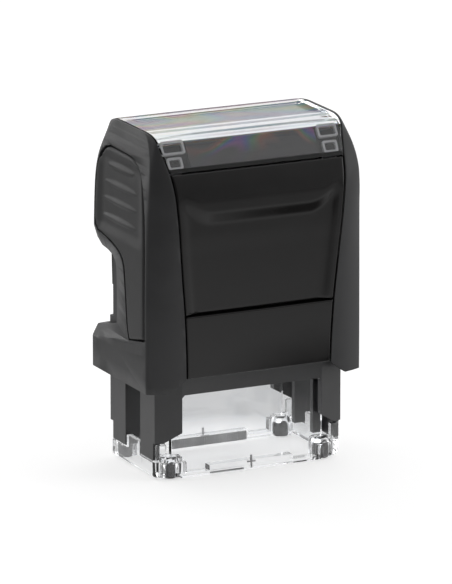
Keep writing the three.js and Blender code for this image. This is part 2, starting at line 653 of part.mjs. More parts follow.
// A helical wire with closed ends, standing between the frame's roof and the handle's deck.
function returnSpring() {
  const { radius, wire, turns } = SPRING;
  const low = ROOF_TOP + GAP + wire;
  const high = DECK_UNDERSIDE - GAP - wire;
  const perTurn = 20;
  const sides = 8;
  const steps = turns * perTurn;
  const rings = [];
  for (let i = 0; i <= steps; i++) {
    const turn = (i / steps) * turns;
    // The end turns lie nearly flat.
    const ease = THREE.MathUtils.clamp((turn - 1) / (turns - 2), 0, 1);
    const flat = 2 * wire * 1.12;
    let z = low + flat + (high - low - 2 * flat) * ease;
    if (turn < 1) z = low + flat * turn;
    if (turn > turns - 1) z = high - flat * (turns - turn);
    const angle = turn * 2 * Math.PI;
    const ring = [];
    for (let s = 0; s < sides; s++) {
      const a = (s / sides) * 2 * Math.PI;
      const r = radius + wire * Math.cos(a);
      ring.push([r * Math.cos(angle), r * Math.sin(angle), z + wire * Math.sin(a)]);
    }
    rings.push(ring);
  }
  const made = loft(rings);
  return made.volume() > 0 ? made : loft(rings.map((ring) => ring.slice().reverse()));
}

const stamp = new THREE.Group();
stamp.name = "self_inking_stamp";

function add(name, made, color, roughness, extra = {}) {
  const material = new THREE.MeshStandardMaterial({ color, roughness, metalness: 0, ...extra });
  const mesh = new THREE.Mesh(geometryOf(made), material);
  mesh.name = name;
  stamp.add(mesh);
  return mesh;
}

const BLACK = 0x2b2b2d;
const GREY_BLACK = 0x3c3c3f;
const clear = { transparent: true, opacity: 0.35 };

add("lower_frame", lowerFrame(), BLACK, 0.5);
add("clear_base", clearBase(), 0xe8ecf0, 0.08, clear);
for (const [sy, end] of [[-1, "front"], [1, "rear"]])
  for (const [sx, side] of [[-1, "left"], [1, "right"]])
    add(`foot_${end}_${side}`, foot().translate([sx * FOOT.x, sy * FOOT.y, 0]), 0x1c1c1e, 0.8);

const shell = sideShell();
add("right_shell", shell, GREY_BLACK, 0.45);
add("left_shell", mirrored(shell), GREY_BLACK, 0.45);
const pad = gripPad();
add("right_grip_pad", pad, 0x3a3a3c, 0.85);
add("left_grip_pad", mirrored(pad), 0x3a3a3c, 0.85);
add("front_panel", frontPanel(), 0x1d1b1c, 0.12);
add("label_strip", labelStrip(), 0x1d1b1c, 0.15);
add("rear_panel", rearPanel(), 0x1d1b1c, 0.12);
add("handle_core", handleCore(), BLACK, 0.5);
add("imprint_card", imprintCard(), 0x55555a, 0.6);
const bar = slider();
add("right_slider", bar, BLACK, 0.45);
add("left_slider", mirrored(bar), BLACK, 0.45);
add("return_spring", returnSpring(), 0xb8bcc0, 0.3, { metalness: 0.9 });
add("top_window", topWindow(), 0xf2f4f6, 0.05, clear);

add("plate_holder", plateHolder(), 0x4a4a4d, 0.5);
add("plate_cushion", box(-12, 12, -4.2, 4.2, 21.1, 22.2), 0x8a8a8a, 0.9);
add("text_rubber", box(-12, 12, -PLATE_HALF_Y, PLATE_HALF_Y, 22.5, AXLE_Z + FACE_ABOVE_AXLE), 0xb04a3a, 0.8);

add("cartridge_tray", inkTray(), BLACK, 0.5);
add(
  "ink_pad",
  box(-FELT.halfX, FELT.halfX, -FELT.halfY, FELT.halfY, FELT.bottom, FELT.top),
  0x20242e,
  0.95,
);

export default stamp;
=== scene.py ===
import bisect
import math

import bmesh
import bpy
from mathutils import Matrix, Vector
from mathutils.geometry import delaunay_2d_cdt


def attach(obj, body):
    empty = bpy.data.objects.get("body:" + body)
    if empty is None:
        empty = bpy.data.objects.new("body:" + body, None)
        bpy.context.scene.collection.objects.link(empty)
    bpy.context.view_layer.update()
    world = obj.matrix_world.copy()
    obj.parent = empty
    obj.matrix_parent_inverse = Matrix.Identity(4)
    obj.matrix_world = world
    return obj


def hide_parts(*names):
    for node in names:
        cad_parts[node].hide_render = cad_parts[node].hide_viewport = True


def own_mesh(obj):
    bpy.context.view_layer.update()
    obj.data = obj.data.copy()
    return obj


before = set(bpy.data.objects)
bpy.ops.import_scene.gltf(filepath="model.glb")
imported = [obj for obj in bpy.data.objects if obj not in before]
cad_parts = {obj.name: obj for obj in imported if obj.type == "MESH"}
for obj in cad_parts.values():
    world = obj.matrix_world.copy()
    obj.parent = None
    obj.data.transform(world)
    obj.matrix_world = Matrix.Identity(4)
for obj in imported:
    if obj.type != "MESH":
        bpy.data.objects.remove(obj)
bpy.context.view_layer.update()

# Lengths here are in millimetres in the frame's axes, and each mesh is scaled to metres once.
MM = 0.001
GAP = 0.3  # clearance between neighbouring pieces
HANDLE_BOTTOM = 16.7
HANDLE_TOP = 62.9
CROWN = 0.18  # how far the middle of the front and rear faces stands proud of the seams
WALL = 1.7
ARM_INNER_X = 18.85
SIDE_OUTER_X = 21.2
REAR_SEAM = 16.3
ARCH_HALF = 13.75
WINDOW_FRONT_Z = 56.7
WINDOW_REAR_Y = 7.2
WINDOW_THICK = 1.2
PANEL_BOTTOM = 30.95
STRIP_BOTTOM, STRIP_TOP = 19.2, 30.6

# Level outlines of the handle from the bottom up: height, depth of the front face at the seam,
# depth of the front side corner, half width, half width of the seam, depth of the rear corner.
OUTLINES = [
    (16.7, 13.5, 11.46, 21.2, 14.15, 11.46),
    (22.0, 13.62, 11.46, 21.2, 14.25, 11.46),
    (30.75, 13.84, 11.46, 21.17, 14.68, 11.3),
    (36.0, 14.02, 11.5, 21.12, 15.15, 11.15),
    (41.4, 14.25, 11.56, 21.05, 15.64, 11.04),
    (46.8, 14.52, 11.68, 20.95, 16.12, 10.98),
    (50.7, 14.43, 11.95, 20.84, 16.47, 10.86),
    (53.4, 14.03, 11.98, 20.7, 16.7, 10.62),
    (55.8, 13.15, 11.6, 20.44, 16.95, 10.15),
    (58.0, 11.95, 10.9, 20.02, 17.3, 9.45),
    (60.15, 10.65, 9.6, 19.52, 17.75, 8.4),
    (61.3, 9.95, 8.6, 19.25, 18.0, 7.7),
    (62.0, 9.3, 7.85, 19.1, 18.12, 7.2),
    (62.5, 8.2, 7.1, 18.99, 18.2, 6.6),
    (62.8, 6.8, 6.1, 18.93, 18.27, 5.8),
    (62.9, 5.0, 4.9, 18.9, 18.3, 4.9),
]


def smooth_through(xs, ys):
    """A smooth curve through the points that doesn't overshoot them."""
    steps = [(ys[i + 1] - ys[i]) / (xs[i + 1] - xs[i]) for i in range(len(xs) - 1)]
    slopes = [steps[0]]
    for a, b in zip(steps, steps[1:]):
        slopes.append(0 if a * b <= 0 else 2 * a * b / (a + b))
    slopes.append(steps[-1])

    def at(x):
        x = min(max(x, xs[0]), xs[-1])
        i = min(max(bisect.bisect_right(xs, x) - 1, 0), len(xs) - 2)
        h = xs[i + 1] - xs[i]
        t = (x - xs[i]) / h
        return (
            (2 * t**3 - 3 * t**2 + 1) * ys[i]
            + (t**3 - 2 * t**2 + t) * h * slopes[i]
            + (3 * t**2 - 2 * t**3) * ys[i + 1]
            + (t**3 - t**2) * h * slopes[i + 1]
        )

    return at


class Form:
    """The handle's outer form, shrunk inwards by inset."""

    def __init__(self, inset=0.0):
        rows = []
        for i, (z, front, corner, side, seam, rear) in enumerate(OUTLINES):
            below, above = OUTLINES[max(i - 1, 0)], OUTLINES[min(i + 1, len(OUTLINES) - 1)]
            along = Vector((above[1] - below[1], above[0] - below[0])).normalized()
            out = Vector((0, 1)) if above is OUTLINES[i] else Vector((along.y, -along.x))
            shift = inset * out.x
            rows.append(
                (z - inset * out.y, front - shift, corner - shift, side - inset, seam, rear - shift)
            )
        zs = [row[0] for row in rows]
        self.bottom, self.top = zs[0], zs[-1]
        for k, name in enumerate(("front", "corner", "side", "seam", "rear")):
            setattr(self, name, smooth_through(zs, [row[k + 1] for row in rows]))

    def depth(self, x, z, behind=False):
        """Distance of the front or rear face from the middle plane."""
        x, front, seam, side = abs(x), self.front(z), self.seam(z), self.side(z)
        if x <= seam:
            return front + CROWN * (1 - (x / seam) ** 2)
        corner = (self.rear if behind else self.corner)(z)
        u = min((x - seam) / (side - seam), 1)
        bend = front - 0.12 * (front - corner)
        return (1 - u) ** 2 * front + 2 * (1 - u) * u * bend + u * u * corner


OUTER = Form()


# Mesh building.
def placed(name, data):
    """A new object in the scene."""
    obj = bpy.data.objects.new(name, data)
    bpy.context.scene.collection.objects.link(obj)
    return obj


def make(name, points, faces):
    """A mesh object from points in millimetres, with its faces turned outwards."""
    mesh = bpy.data.meshes.new(name)
    mesh.from_pydata([[c * MM for c in point] for point in points], [], faces)
    body = bmesh.new()
    body.from_mesh(mesh)
    bmesh.ops.remove_doubles(body, verts=body.verts, dist=1e-7)
    bmesh.ops.recalc_face_normals(body, faces=body.faces)
    body.to_mesh(mesh)
    body.free()
    return placed(name, mesh)


def loft(name, rings):
    """A closed skin over a stack of rings with the same number of points, closed by flat ends."""
    count = len(rings[0])
    points = [point for ring in rings for point in ring]
    faces = []
    for r in range(len(rings) - 1):
        for i in range(count):
            j = (i + 1) % count
            a, b = r * count + i, r * count + j
            faces.append((a, b, b + count, a + count))
    last = (len(rings) - 1) * count
    faces.append(tuple(range(count)))
    faces.append(tuple(last + i for i in range(count)))
    return make(name, points, faces)


def box(name, low, high):
    (x0, y0, z0), (x1, y1, z1) = low, high
    rings = [[(x0, y0, z), (x1, y0, z), (x1, y1, z), (x0, y1, z)] for z in (z0, z1)]
    return loft(name, rings)


def prism(name, axis, outline, low, high):
    """An outline carried along an axis: "x" takes (y, z) pairs, "y" (x, z) pairs, "z" (x, y) pairs."""
    order = {
        "x": lambda a, b, c: (c, a, b),
        "y": lambda a, b, c: (a, c, b),
        "z": lambda a, b, c: (a, b, c),
    }[axis]
    return loft(name, [[order(a, b, c) for a, b in outline] for c in (low, high)])


def turned(name, profile, x, y, count=32):
    """A turned piece about a vertical axis at x, y, from (radius, z) pairs."""
    turn = [2 * math.pi * i / count for i in range(count)]
    rings = [
        [(x + radius * math.cos(t), y + radius * math.sin(t), z) for t in turn] for radius, z in profile
    ]
    return loft(name, rings)


def applied(obj):
    """Turns the object's modifiers into its mesh."""
    graph = bpy.context.evaluated_depsgraph_get()
    graph.update()
    mesh = bpy.data.meshes.new_from_object(obj.evaluated_get(graph))
    old = obj.data
    obj.modifiers.clear()
    obj.data = mesh
    mesh.name = obj.name
    bpy.data.meshes.remove(old)
    return obj


def combine(obj, operation, *others):
    """Joins the others to the object, or cuts them out of it, and uses them up."""
    for other in others:
        step = obj.modifiers.new("combine", "BOOLEAN")
        step.operation = operation
        step.solver = "MANIFOLD"
        step.object = other
    applied(obj)
    for other in others:
        bpy.data.objects.remove(other, do_unlink=True)
    return obj


def cut(obj, *others):
    return combine(obj, "DIFFERENCE", *others)


def fuse(obj, *others):
    return combine(obj, "UNION", *others)


def clean(obj, flat=0.6):
    """Joins faces that lie in one plane, and drops specks that a cut left behind."""
    body = bmesh.new()
    body.from_mesh(obj.data)
    bmesh.ops.remove_doubles(body, verts=body.verts, dist=0.02 * MM)
    bmesh.ops.dissolve_degenerate(body, edges=body.edges, dist=0.02 * MM)
    bmesh.ops.dissolve_limit(
        body, angle_limit=math.radians(flat), verts=body.verts, edges=body.edges
    )
    body.to_mesh(obj.data)
    body.free()
    return obj


def soften(obj, width=0.12, angle=38, segments=2):
    """Rounds the edges that are sharper than the angle, and smooths the shading elsewhere."""
    step = obj.modifiers.new("soften", "BEVEL")
    step.width = width * MM
    step.segments = segments
    step.limit_method = "ANGLE"
    step.angle_limit = math.radians(angle)
    step.use_clamp_overlap = True
    step.miter_outer = "MITER_SHARP"
    applied(obj)
    return shade(obj)


def shade(obj, angle=45):
    """Smooth shading led by the large faces, with edges sharper than the angle kept."""
    obj.data.shade_smooth()
    obj.data.set_sharp_from_angle(angle=math.radians(angle))
    step = obj.modifiers.new("weigh", "WEIGHTED_NORMAL")
    step.keep_sharp = True
    step.weight = 92
    return applied(obj)


def mirrored(obj, name):
    """A copy of the object on the other side of the middle plane x = 0."""
    mesh = obj.data.copy()
    mesh.name = name
    mesh.transform(Matrix.Scale(-1, 4, (1, 0, 0)))
    mesh.flip_normals()
    return placed(name, mesh)


def grow(outline, by):
    """An outline of (a, b) pairs, anticlockwise, moved outwards by a distance, corner by corner."""
    out = []
    for i, (a, b) in enumerate(outline):
        pa, pb = outline[i - 1]
        na, nb = outline[(i + 1) % len(outline)]
        before = Vector((b - pb, pa - a)).normalized()
        after = Vector((nb - b, a - na)).normalized()
        mean = before + after
        step = mean * (2 * by / max(mean.length_squared, 0.5))
        out.append((a + step.x, b + step.y))
    return out


def rounded(outline, radii, count=5):
    """An outline with its corners rounded: radii maps a corner's index to its radius."""
    out = []
    for i, corner in enumerate(outline):
        radius = radii.get(i, 0)
        if not radius:
            out.append(corner)
            continue
        here = Vector(corner)
        before = (Vector(outline[i - 1]) - here).normalized()
        after = (Vector(outline[(i + 1) % len(outline)]) - here).normalized()
        for k in range(count + 1):
            t = k / count
            point = (1 - t) ** 2 * (here + before * radius) + 2 * t * (1 - t) * here
            point += t * t * (here + after * radius)
            out.append((point.x, point.y))
    return out


def round_rect(low, high, radius, count=5):
    """A rectangle between two corners, as an outline with rounded corners."""
    (a0, b0), (a1, b1) = low, high
    return rounded([(a0, b0), (a1, b0), (a1, b1), (a0, b1)], dict.fromkeys(range(4), radius), count)


def smoothstep(value, low, high):
    """0 up to low and 1 from high on, with an even bend between."""
    t = min(max((value - low) / (high - low), 0), 1)
    return t * t * (3 - 2 * t)


def distance_to(outline, point):
    """How far a point is from the nearest side of an outline."""
    best = math.inf
    p = Vector(point)
    for i, b in enumerate(outline):
        a, b = Vector(outline[i - 1]), Vector(b)
        t = min(max((p - a).dot(b - a) / (b - a).length_squared, 0), 1)
        best = min(best, (p - a.lerp(b, t)).length)
    return best


def inside_of(outline, point):
    """Whether a point is inside an outline, by counting the sides that a level line crosses."""
    y, z = point
    inside = False
    for i, (ay, az) in enumerate(outline):
        by, bz = outline[i - 1]
        if (az > z) != (bz > z) and y < (by - ay) * (z - az) / (bz - az) + ay:
            inside = not inside
    return inside


def spaced(start, end, step):
    """Even steps from start to end, about as long as step."""
    count = max(1, round(abs(end - start) / step))
    return [start + (end - start) * i / count for i in range(count + 1)]


def finish_piece(obj, body, slot, material, *nodes):
    """Gives a piece its one material and its body, and hides the CAD nodes that it stands for. Its slot is
    not used.
    """
    obj.data.materials.clear()
    obj.data.materials.append(material)
    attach(obj, body)
    if nodes:
        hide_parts(*nodes)
    return obj


# Materials.
class Tree:
    """Short calls for the nodes that the materials share. Sizes are in millimetres."""

    def __init__(self, mat):
        self.nodes, self.links = mat.node_tree.nodes, mat.node_tree.links
        self.place = self.add("TexCoord").outputs["Object"]

    def add(self, kind, plain=None, **values):
        """A new node; plain holds the values of sockets that nothing drives."""
        node = self.nodes.new("ShaderNode" + kind)
        for key, value in values.items():
            setattr(node, key, value)
        for key, value in (plain or {}).items():
            node.inputs[key].default_value = value
        return node

    def stretched(self, x, y, z):
        """The place with each axis scaled, for a grain that runs one way."""
        node = self.add("Mapping", {"Scale": (x, y, z)})
        self.links.new(self.place, node.inputs["Vector"])
        return node.outputs["Vector"]

    def noise(self, size, detail=2.0, rough=0.5, place=None, distortion=0.0):
        plain = {"Detail": detail, "Roughness": rough, "Distortion": distortion}
        node = self.add("TexNoise", {"Scale": 1 / (size * MM), **plain})
        self.links.new(place or self.place, node.inputs["Vector"])
        return node.outputs["Fac"]

    def spread(self, value, low, high, start=0.3, end=0.7):
        """A value between start and end, carried to between low and high."""
        ends = {"From Min": start, "From Max": end, "To Min": low, "To Max": high}
        node = self.add("MapRange", ends)
        self.links.new(value, node.inputs["Value"])
        return node.outputs["Result"]

    def ramp(self, value, *stops):
        """Colours along a value, from (position, colour) pairs."""
        node = self.add("ValToRGB")
        while len(node.color_ramp.elements) < len(stops):
            node.color_ramp.elements.new(0.5)
        for element, (position, colour) in zip(node.color_ramp.elements, stops):
            element.position = position
            element.color = (*colour, 1)
        self.links.new(value, node.inputs["Fac"])
        return node.outputs["Color"]

    def along(self, axis):
        """How far along an axis the place is, in metres."""
        node = self.add("SeparateXYZ")
        self.links.new(self.place, node.inputs[0])
        return node.outputs[axis]

    def bump(self, height, depth, onto=None):
        node = self.add("Bump", {"Distance": depth * MM})
        self.links.new(height, node.inputs["Height"])
        if onto is not None:
            self.links.new(onto, node.inputs["Normal"])
        return node.outputs["Normal"]

    def sum(self, a, b, share=1.0):
        """a + b * share; a and share may be plain numbers or other nodes' values."""
        node = self.add("Math", operation="MULTIPLY_ADD")
        for socket, value in zip(node.inputs, (b, share, a)):
            if isinstance(value, (int, float)):
                socket.default_value = value
            else:
                self.links.new(value, socket)
        return node.outputs[0]

    def choose(self, which, off, on):
        """off where the value which is 0, on where it is 1."""
        return self.sum(off, which, self.sum(on, off, -1))


class Surface(Tree):
    """A new material and its principled shader; uniform values go on the shader's own sockets."""

    def __init__(self, name, **sockets):
        self.mat = bpy.data.materials.new(name)
        self.mat.use_nodes = True
        super().__init__(self.mat)
        self.bsdf = self.nodes["Principled BSDF"]
        for key, value in sockets.items():
            self.bsdf.inputs[key.replace("_", " ")].default_value = value

    def driven(self, **sockets):
        """Links the nodes' values to the shader's sockets, and returns the material."""
        for key, value in sockets.items():
            self.links.new(value, self.bsdf.inputs[key.replace("_", " ")])
        return self.mat


def tones(base, spread):
    return [tuple(channel * (1 + spread * k) for channel in base) for k in (-1, 0, 1)]


def moulded(
    name, base, roughness=0.5, grain=0.2, depth=0.01, tone=0.15, gloss_spread=0.06, **sockets
):
    """Moulded plastic or rubber: an even grain, with colour and gloss that wander a little."""
    to = Surface(name, **sockets)
    dark, middle, light = tones(base, tone)
    fine = to.noise(grain, 3, 0.6)
    mixed = to.sum(to.noise(7, 3), fine, 0.35)
    return to.driven(
        Base_Color=to.ramp(mixed, (0.45, dark), (0.68, middle), (0.9, light)),
        Roughness=to.spread(mixed, roughness - gloss_spread, roughness + gloss_spread, 0.45, 0.9),
        Normal=to.bump(to.noise(grain * 14, 2), depth * 1.5, to.bump(fine, depth)),
    )


def polished(name, base, roughness, ripple=0.004, **sockets):
    """Polished moulding: a faint long ripple, fine hairlines and a little haze."""
    to = Surface(name, **sockets)
    dark, middle, light = tones(base, 0.2)
    haze = to.noise(5, 4, 0.6)
    hairs = to.noise(0.35, 2, 0.5, to.stretched(0.04, 1, 1))
    return to.driven(
        Base_Color=to.ramp(haze, (0.3, dark), (0.5, middle), (0.75, light)),
        Roughness=to.spread(to.sum(haze, hairs, 0.4), roughness * 0.7, roughness * 1.4, 0.5, 0.9),
        Normal=to.bump(to.noise(6, 1), ripple),
    )


def clear_plastic(name, roughness=0.03, tint=1.0, film=False):
    """Clear styrene: slight flow lines, and where asked a strain film with rainbow bands."""
    to = Surface(name, Transmission_Weight=1.0, IOR=1.57)
    cloud = to.noise(4, 3, 0.6)
    cloudy, clear = ([tint * part for part in c] for c in ((0.95, 0.96, 0.975), (0.985, 0.99, 0.995)))
    if film:
        bands = to.noise(13, 2, 0.45, to.stretched(0.5, 1.6, 1.6), distortion=0.4)
        over = to.spread(to.along("Z"), 0, 1, 60.6 * MM, 61.8 * MM)
        to.driven(Thin_Film_Thickness=to.sum(0, to.spread(bands, 280, 760), over))
        to.bsdf.inputs["Thin Film IOR"].default_value = 1.38
    return to.driven(
        Base_Color=to.ramp(cloud, (0.3, cloudy), (0.6, clear)),
        Roughness=to.spread(cloud, roughness * 0.6, roughness * 1.4),
        Normal=to.bump(to.noise(3.2, 2, 0.5, to.stretched(0.35, 1, 1)), 0.006),
    )


def card_with_painted_rainbow():
    """Plain dark card, with a painted rainbow reflection in its colour near the bend, standing in for the
    window's rainbow.
    """
    to = Surface("card_with_painted_rainbow", Coat_Weight=0.2, Coat_Roughness=0.08, Specular_IOR_Level=0.3)
    grey = (0.020, 0.017, 0.020)
    # Painted rainbow reflection: hues mixed into the card's colour high on its face and towards the front,
    # standing in for the window's rainbow.
    painted_rainbow_hues = to.ramp(
        to.noise(6, 1, 0.4, to.stretched(0.6, 1, 0.7), distortion=0.4),
        (0.36, grey),
        (0.42, (0.17, 0.03, 0.22)),
        (0.47, (0.03, 0.05, 0.27)),
        (0.52, (0.02, 0.14, 0.05)),
        (0.57, (0.2, 0.06, 0.03)),
        (0.64, grey),
    )
    mix = to.add("Mix", data_type="RGBA")
    up = to.spread(to.along("Z"), 0.05, 1, 58.2 * MM, 60.8 * MM)
    in_front = to.spread(to.along("Y"), 1, 0.06, -9.2 * MM, -7.6 * MM)
    to.links.new(to.sum(0, up, in_front), mix.inputs["Factor"])
    mix.inputs["A"].default_value = (*grey, 1)
    to.links.new(painted_rainbow_hues, mix.inputs["B"])
    fibres = to.noise(0.12, 3, 0.6, to.stretched(0.3, 1, 1))
    return to.driven(
        Base_Color=mix.outputs["Result"],
        Roughness=to.spread(fibres, 0.35, 0.5),
        Normal=to.bump(fibres, 0.0012),
    )


def spring_wire():
    """Drawn steel wire with fine lines along it and a trace of oil."""
    to = Surface("spring_wire", Metallic=1.0)
    stained, bare, oiled = (0.36, 0.36, 0.37), (0.6, 0.6, 0.61), (0.66, 0.65, 0.63)
    lines = to.noise(0.1, 2, 0.5, to.stretched(0.2, 0.2, 2))
    return to.driven(
        Base_Color=to.ramp(to.noise(2.5, 3), (0.3, stained), (0.6, bare), (0.8, oiled)),
        Roughness=to.spread(lines, 0.2, 0.38),
        Normal=to.bump(lines, 0.003),
    )


def inked_felt():
    """Felt soaked with dark ink: matted fibres, wetter in patches."""
    to = Surface("inked_felt", Sheen_Weight=0.25)
    wet, damp, dry = (0.006, 0.007, 0.014), (0.016, 0.018, 0.034), (0.04, 0.042, 0.06)
    patches = to.noise(4, 3)
    fibres = to.noise(0.22, 4, 0.7, distortion=1.2)
    tangle = to.sum(patches, fibres, 0.6)
    return to.driven(
        Base_Color=to.ramp(tangle, (0.55, wet), (0.8, damp), (1, dry)),
        Roughness=to.spread(patches, 0.45, 0.9),
        Normal=to.bump(fibres, 0.12),
    )


# Grain sizes and depths are in millimetres.
SATIN = moulded("satin_black", (0.033, 0.033, 0.0345), roughness=0.44, grain=0.17, depth=0.012)
FRAME_SATIN = moulded("frame_black", (0.052, 0.052, 0.0535), roughness=0.38)
# The core's own black, made darker and less glossy than the shell's as a painted shade for the shadowed
# inside of the handle seen through the slots.
CORE_SATIN_AND_SHADE = moulded("core_black", (0.008, 0.008, 0.009), grain=0.22, Specular_IOR_Level=0.14)
SOFT_TOUCH = moulded(
    "soft_touch", (0.034, 0.034, 0.035), roughness=0.52, grain=0.13, depth=0.014, tone=0.12, Sheen_Weight=0.04
)
FOOT_RUBBER = moulded("foot_rubber", (0.014, 0.014, 0.015), roughness=0.6, grain=0.1, Sheen_Weight=0.05)
PLATE_GREY = moulded("plate_grey", (0.12, 0.12, 0.13), roughness=0.45)
FOAM = moulded("cushion_foam", (0.27, 0.27, 0.27), roughness=0.85, grain=0.3, depth=0.05, tone=0.25)
LASER_RUBBER = moulded(
    "laser_rubber", (0.36, 0.11, 0.08), roughness=0.7, grain=0.12, depth=0.014, tone=0.2
)
GLOSS = polished("gloss_black", (0.0085, 0.0078, 0.0078), roughness=0.11, Specular_IOR_Level=0.42)
STYRENE = clear_plastic("clear_styrene")
WINDOW = clear_plastic("window_styrene", roughness=0.02, tint=0.9, film=True)
CLIP = moulded(
    "clip_styrene", (0.8, 0.8, 0.82), roughness=0.14, grain=0.4, depth=0.004, tone=0.1,
    gloss_spread=0.04, Transmission_Weight=0.5,
)
# Frosted styrene for the ribs and marks, and the grey of the painted-shade stripe on the front sill.
GROUND_AND_PAINTED_SHADE = moulded(
    "ground_styrene_and_painted_shade", (0.5, 0.5, 0.505), grain=0.15, depth=0.03, tone=0.35, Transmission_Weight=0.4
)
CARD_PAINTED_RAINBOW = card_with_painted_rainbow()
WIRE = spring_wire()
FELT = inked_felt()


# Outlines that several pieces share.
def through(points, per=4):
    """A smooth run of points through the given ones."""
    out = []
    for i in range(len(points) - 1):
        before = Vector(points[max(i - 1, 0)])
        here, there = Vector(points[i]), Vector(points[i + 1])
        after = Vector(points[min(i + 2, len(points) - 1)])
        for k in range(per):
            t = k / per
            point = 0.5 * (
                2 * here
                + (there - before) * t
                + (2 * before - 5 * here + 4 * there - after) * t**2
                + (3 * here - before - 3 * there + after) * t**3
            )
            out.append(tuple(point))
    out.append(tuple(points[-1]))
    return out


# The scoop's edge on the side face, and its foot on the arm's inner plane, as (y, z) pairs.
SCOOP_RIM = [
    (10.3, 43.3), (9.15, 42.3), (6.1, 41.85), (2.8, 41.15), (0.1, 40.15), (-1.55, 38.6),
    (-2.2, 36.3), (-2.85, 31.2), (-3.45, 27), (-4.07, 25.1),
]
SCOOP_FOOT = [
    (10.4, 39.0), (9.6, 38.9), (8.3, 38.75), (7.2, 38.5), (5.9, 38.05), (4.95, 37.2),
    (4.5, 36.0), (4.3, 32.0), (4.3, 28.0), (4.5, 25.9),
]
SCOOP_REAR_RIM = [(11.5, 22.0), (17, 21.2), (17, 47)]
SCOOP_REAR_FOOT = [(11.5, 24.2), (17, 23.2), (17, 42.5)]
SCOOP_INNER_X = 19.55

# The soft pad: its edge along the scoop and up the rear, then back over the top and down the front.
PAD_BEHIND = through([(-4.15, 25.15)] + SCOOP_RIM[-2:0:-1], 3)
PAD_BEHIND += through([(10.1, 43.1), (10.4, 45), (10.3, 50), (9.9, 54.0)], 3)
PAD_BEFORE = through([(9.1, 56.4), (7.6, 57.7), (5.6, 58.2)], 3) + through(
    [(-0.9, 58.1), (-3.7, 57.85), (-5.8, 57.0), (-7.1, 56.0), (-7.8, 55.0), (-8.7, 52.6),
     (-9.4, 49.5), (-9.75, 46.5), (-9.95, 42)], 3
) + [(-10.05, 26.2)]
PAD = PAD_BEHIND + PAD_BEFORE
PAD_POCKET = 1.25  # how deep its pocket goes into the shell
PAD_THICK = 0.95
PAD_HOLLOW = 0.36  # how far its field lies below its rim
# The pad's finger ridges: height, and how far each runs to the rear and to the front.
RIDGES = [(55.0, 6.2, -4.4), (51.75, 7.2, -5.9), (48.7, 7.5, -6.1), (45.5, 7.8, -5.9)]


def rear_seam(z):
    return max(REAR_SEAM, OUTER.seam(z))


REAR_STEP = 26, 29  # heights between which a side shell's rear edge moves out to the rear seam


def rear_edge(z):
    """Where a side shell ends behind: beside the arch low down, and at the rear seam above."""
    start, end = REAR_STEP
    if z < end:
        low = ARCH_HALF + GAP
        return low + (REAR_SEAM + GAP / 2 - low) * max(0, (z - start) / (end - start))
    return rear_seam(z) + GAP / 2


# Side shells.
SHELL_ROOF = 60.2
SHELL_DEPTH = 12.3  # how far a shell's hollow reaches from the middle plane


def shell_ring(z, inner, closed):
    """A level section of the right side shell. Above its roof the section is solid."""
    corner_size = min(0.55, 0.4 * (OUTER.side(z) - OUTER.seam(z) - GAP / 2))
    side = OUTER.side(z)
    ends = {False: OUTER.seam(z) + GAP / 2, True: rear_edge(z)}
    corners = {False: OUTER.corner(z), True: OUTER.rear(z)}

    def face(behind):
        sign = 1 if behind else -1
        run = [
            (x, sign * OUTER.depth(x, z, behind))
            for x in spaced(ends[behind], side - corner_size, (side - corner_size - ends[behind]) / 9)
        ]
        a, b = Vector(run[-1]), Vector((side, sign * corners[behind]))
        c = b - Vector((0, sign * corner_size))
        for t in (0.25, 0.5, 0.75, 1):
            bend = (1 - t) ** 2 * a + 2 * t * (1 - t) * b + t * t * c
            run.append(tuple(bend))
        return run

    outside = face(False)
    flank_steps, inner_steps = 13, 5
    y0, y1 = outside[-1][1], corners[True] - corner_size
    flank = [(side, y0 + (y1 - y0) * k / flank_steps) for k in range(1, flank_steps)]
    outside += flank + face(True)[::-1]
    reach = max(min(ARM_INNER_X, inner.side(z)), max(ends.values()) + 0.05)
    inside = []
    for behind in (True, False):
        sign = 1 if behind else -1
        run = []
        for k in range(inner_steps + 1):
            x = ends[behind] + (reach - ends[behind]) * k / inner_steps
            depth = min(inner.depth(x, z, behind), SHELL_DEPTH, OUTER.depth(x, z, behind) - 0.3)
            run.append((x, sign * depth))
        inside += run if behind else run[::-1]
    if closed:
        start, end = Vector(outside[-1]), Vector(outside[0])
        start.x = end.x = ends[False]
        count = len(inside)
        inside = [tuple(start.lerp(end, (k + 1) / (count + 1))) for k in range(count)]
    return [(x, y, z) for x, y in outside + inside]


def scoop():
    """What the side scoop takes away behind an arm, carried past the side face on its slope."""
    rim = through(SCOOP_RIM, 4) + SCOOP_REAR_RIM
    foot = through(SCOOP_FOOT, 4) + SCOOP_REAR_FOOT
    past = SIDE_OUTER_X + 0.6
    ratio = (past - SCOOP_INNER_X) / (SIDE_OUTER_X - SCOOP_INNER_X)
    wide = [(fy + (ry - fy) * ratio, fz + (rz - fz) * ratio) for (ry, rz), (fy, fz) in zip(rim, foot)]
    levels = (10, foot), (SCOOP_INNER_X, foot), (past, wide)
    return loft("scoop", [[(x, y, z) for y, z in ring] for x, ring in levels])


def pad_pocket():
    """What the soft pad's pocket takes out of the right shell; it is wider than the pad in front."""
    levels = []
    for z in spaced(22, 61, 1.5):
        x0, x1 = OUTER.side(z) - PAD_POCKET, 24
        levels.append([(x0, -13, z), (x1, -13, z), (x1, 14, z), (x0, 14, z)])
    around = grow(PAD, GAP / 2)
    behind, before = around[: len(PAD_BEHIND)], around[len(PAD_BEHIND) :]
    before = [(y - 0.6 * smoothstep(-5 - y, 0, 4), z) for y, z in before]
    edge = prism("pad_edge", "x", behind + before, 15, 26)
    return combine(loft("pocket", levels), "INTERSECT", edge)


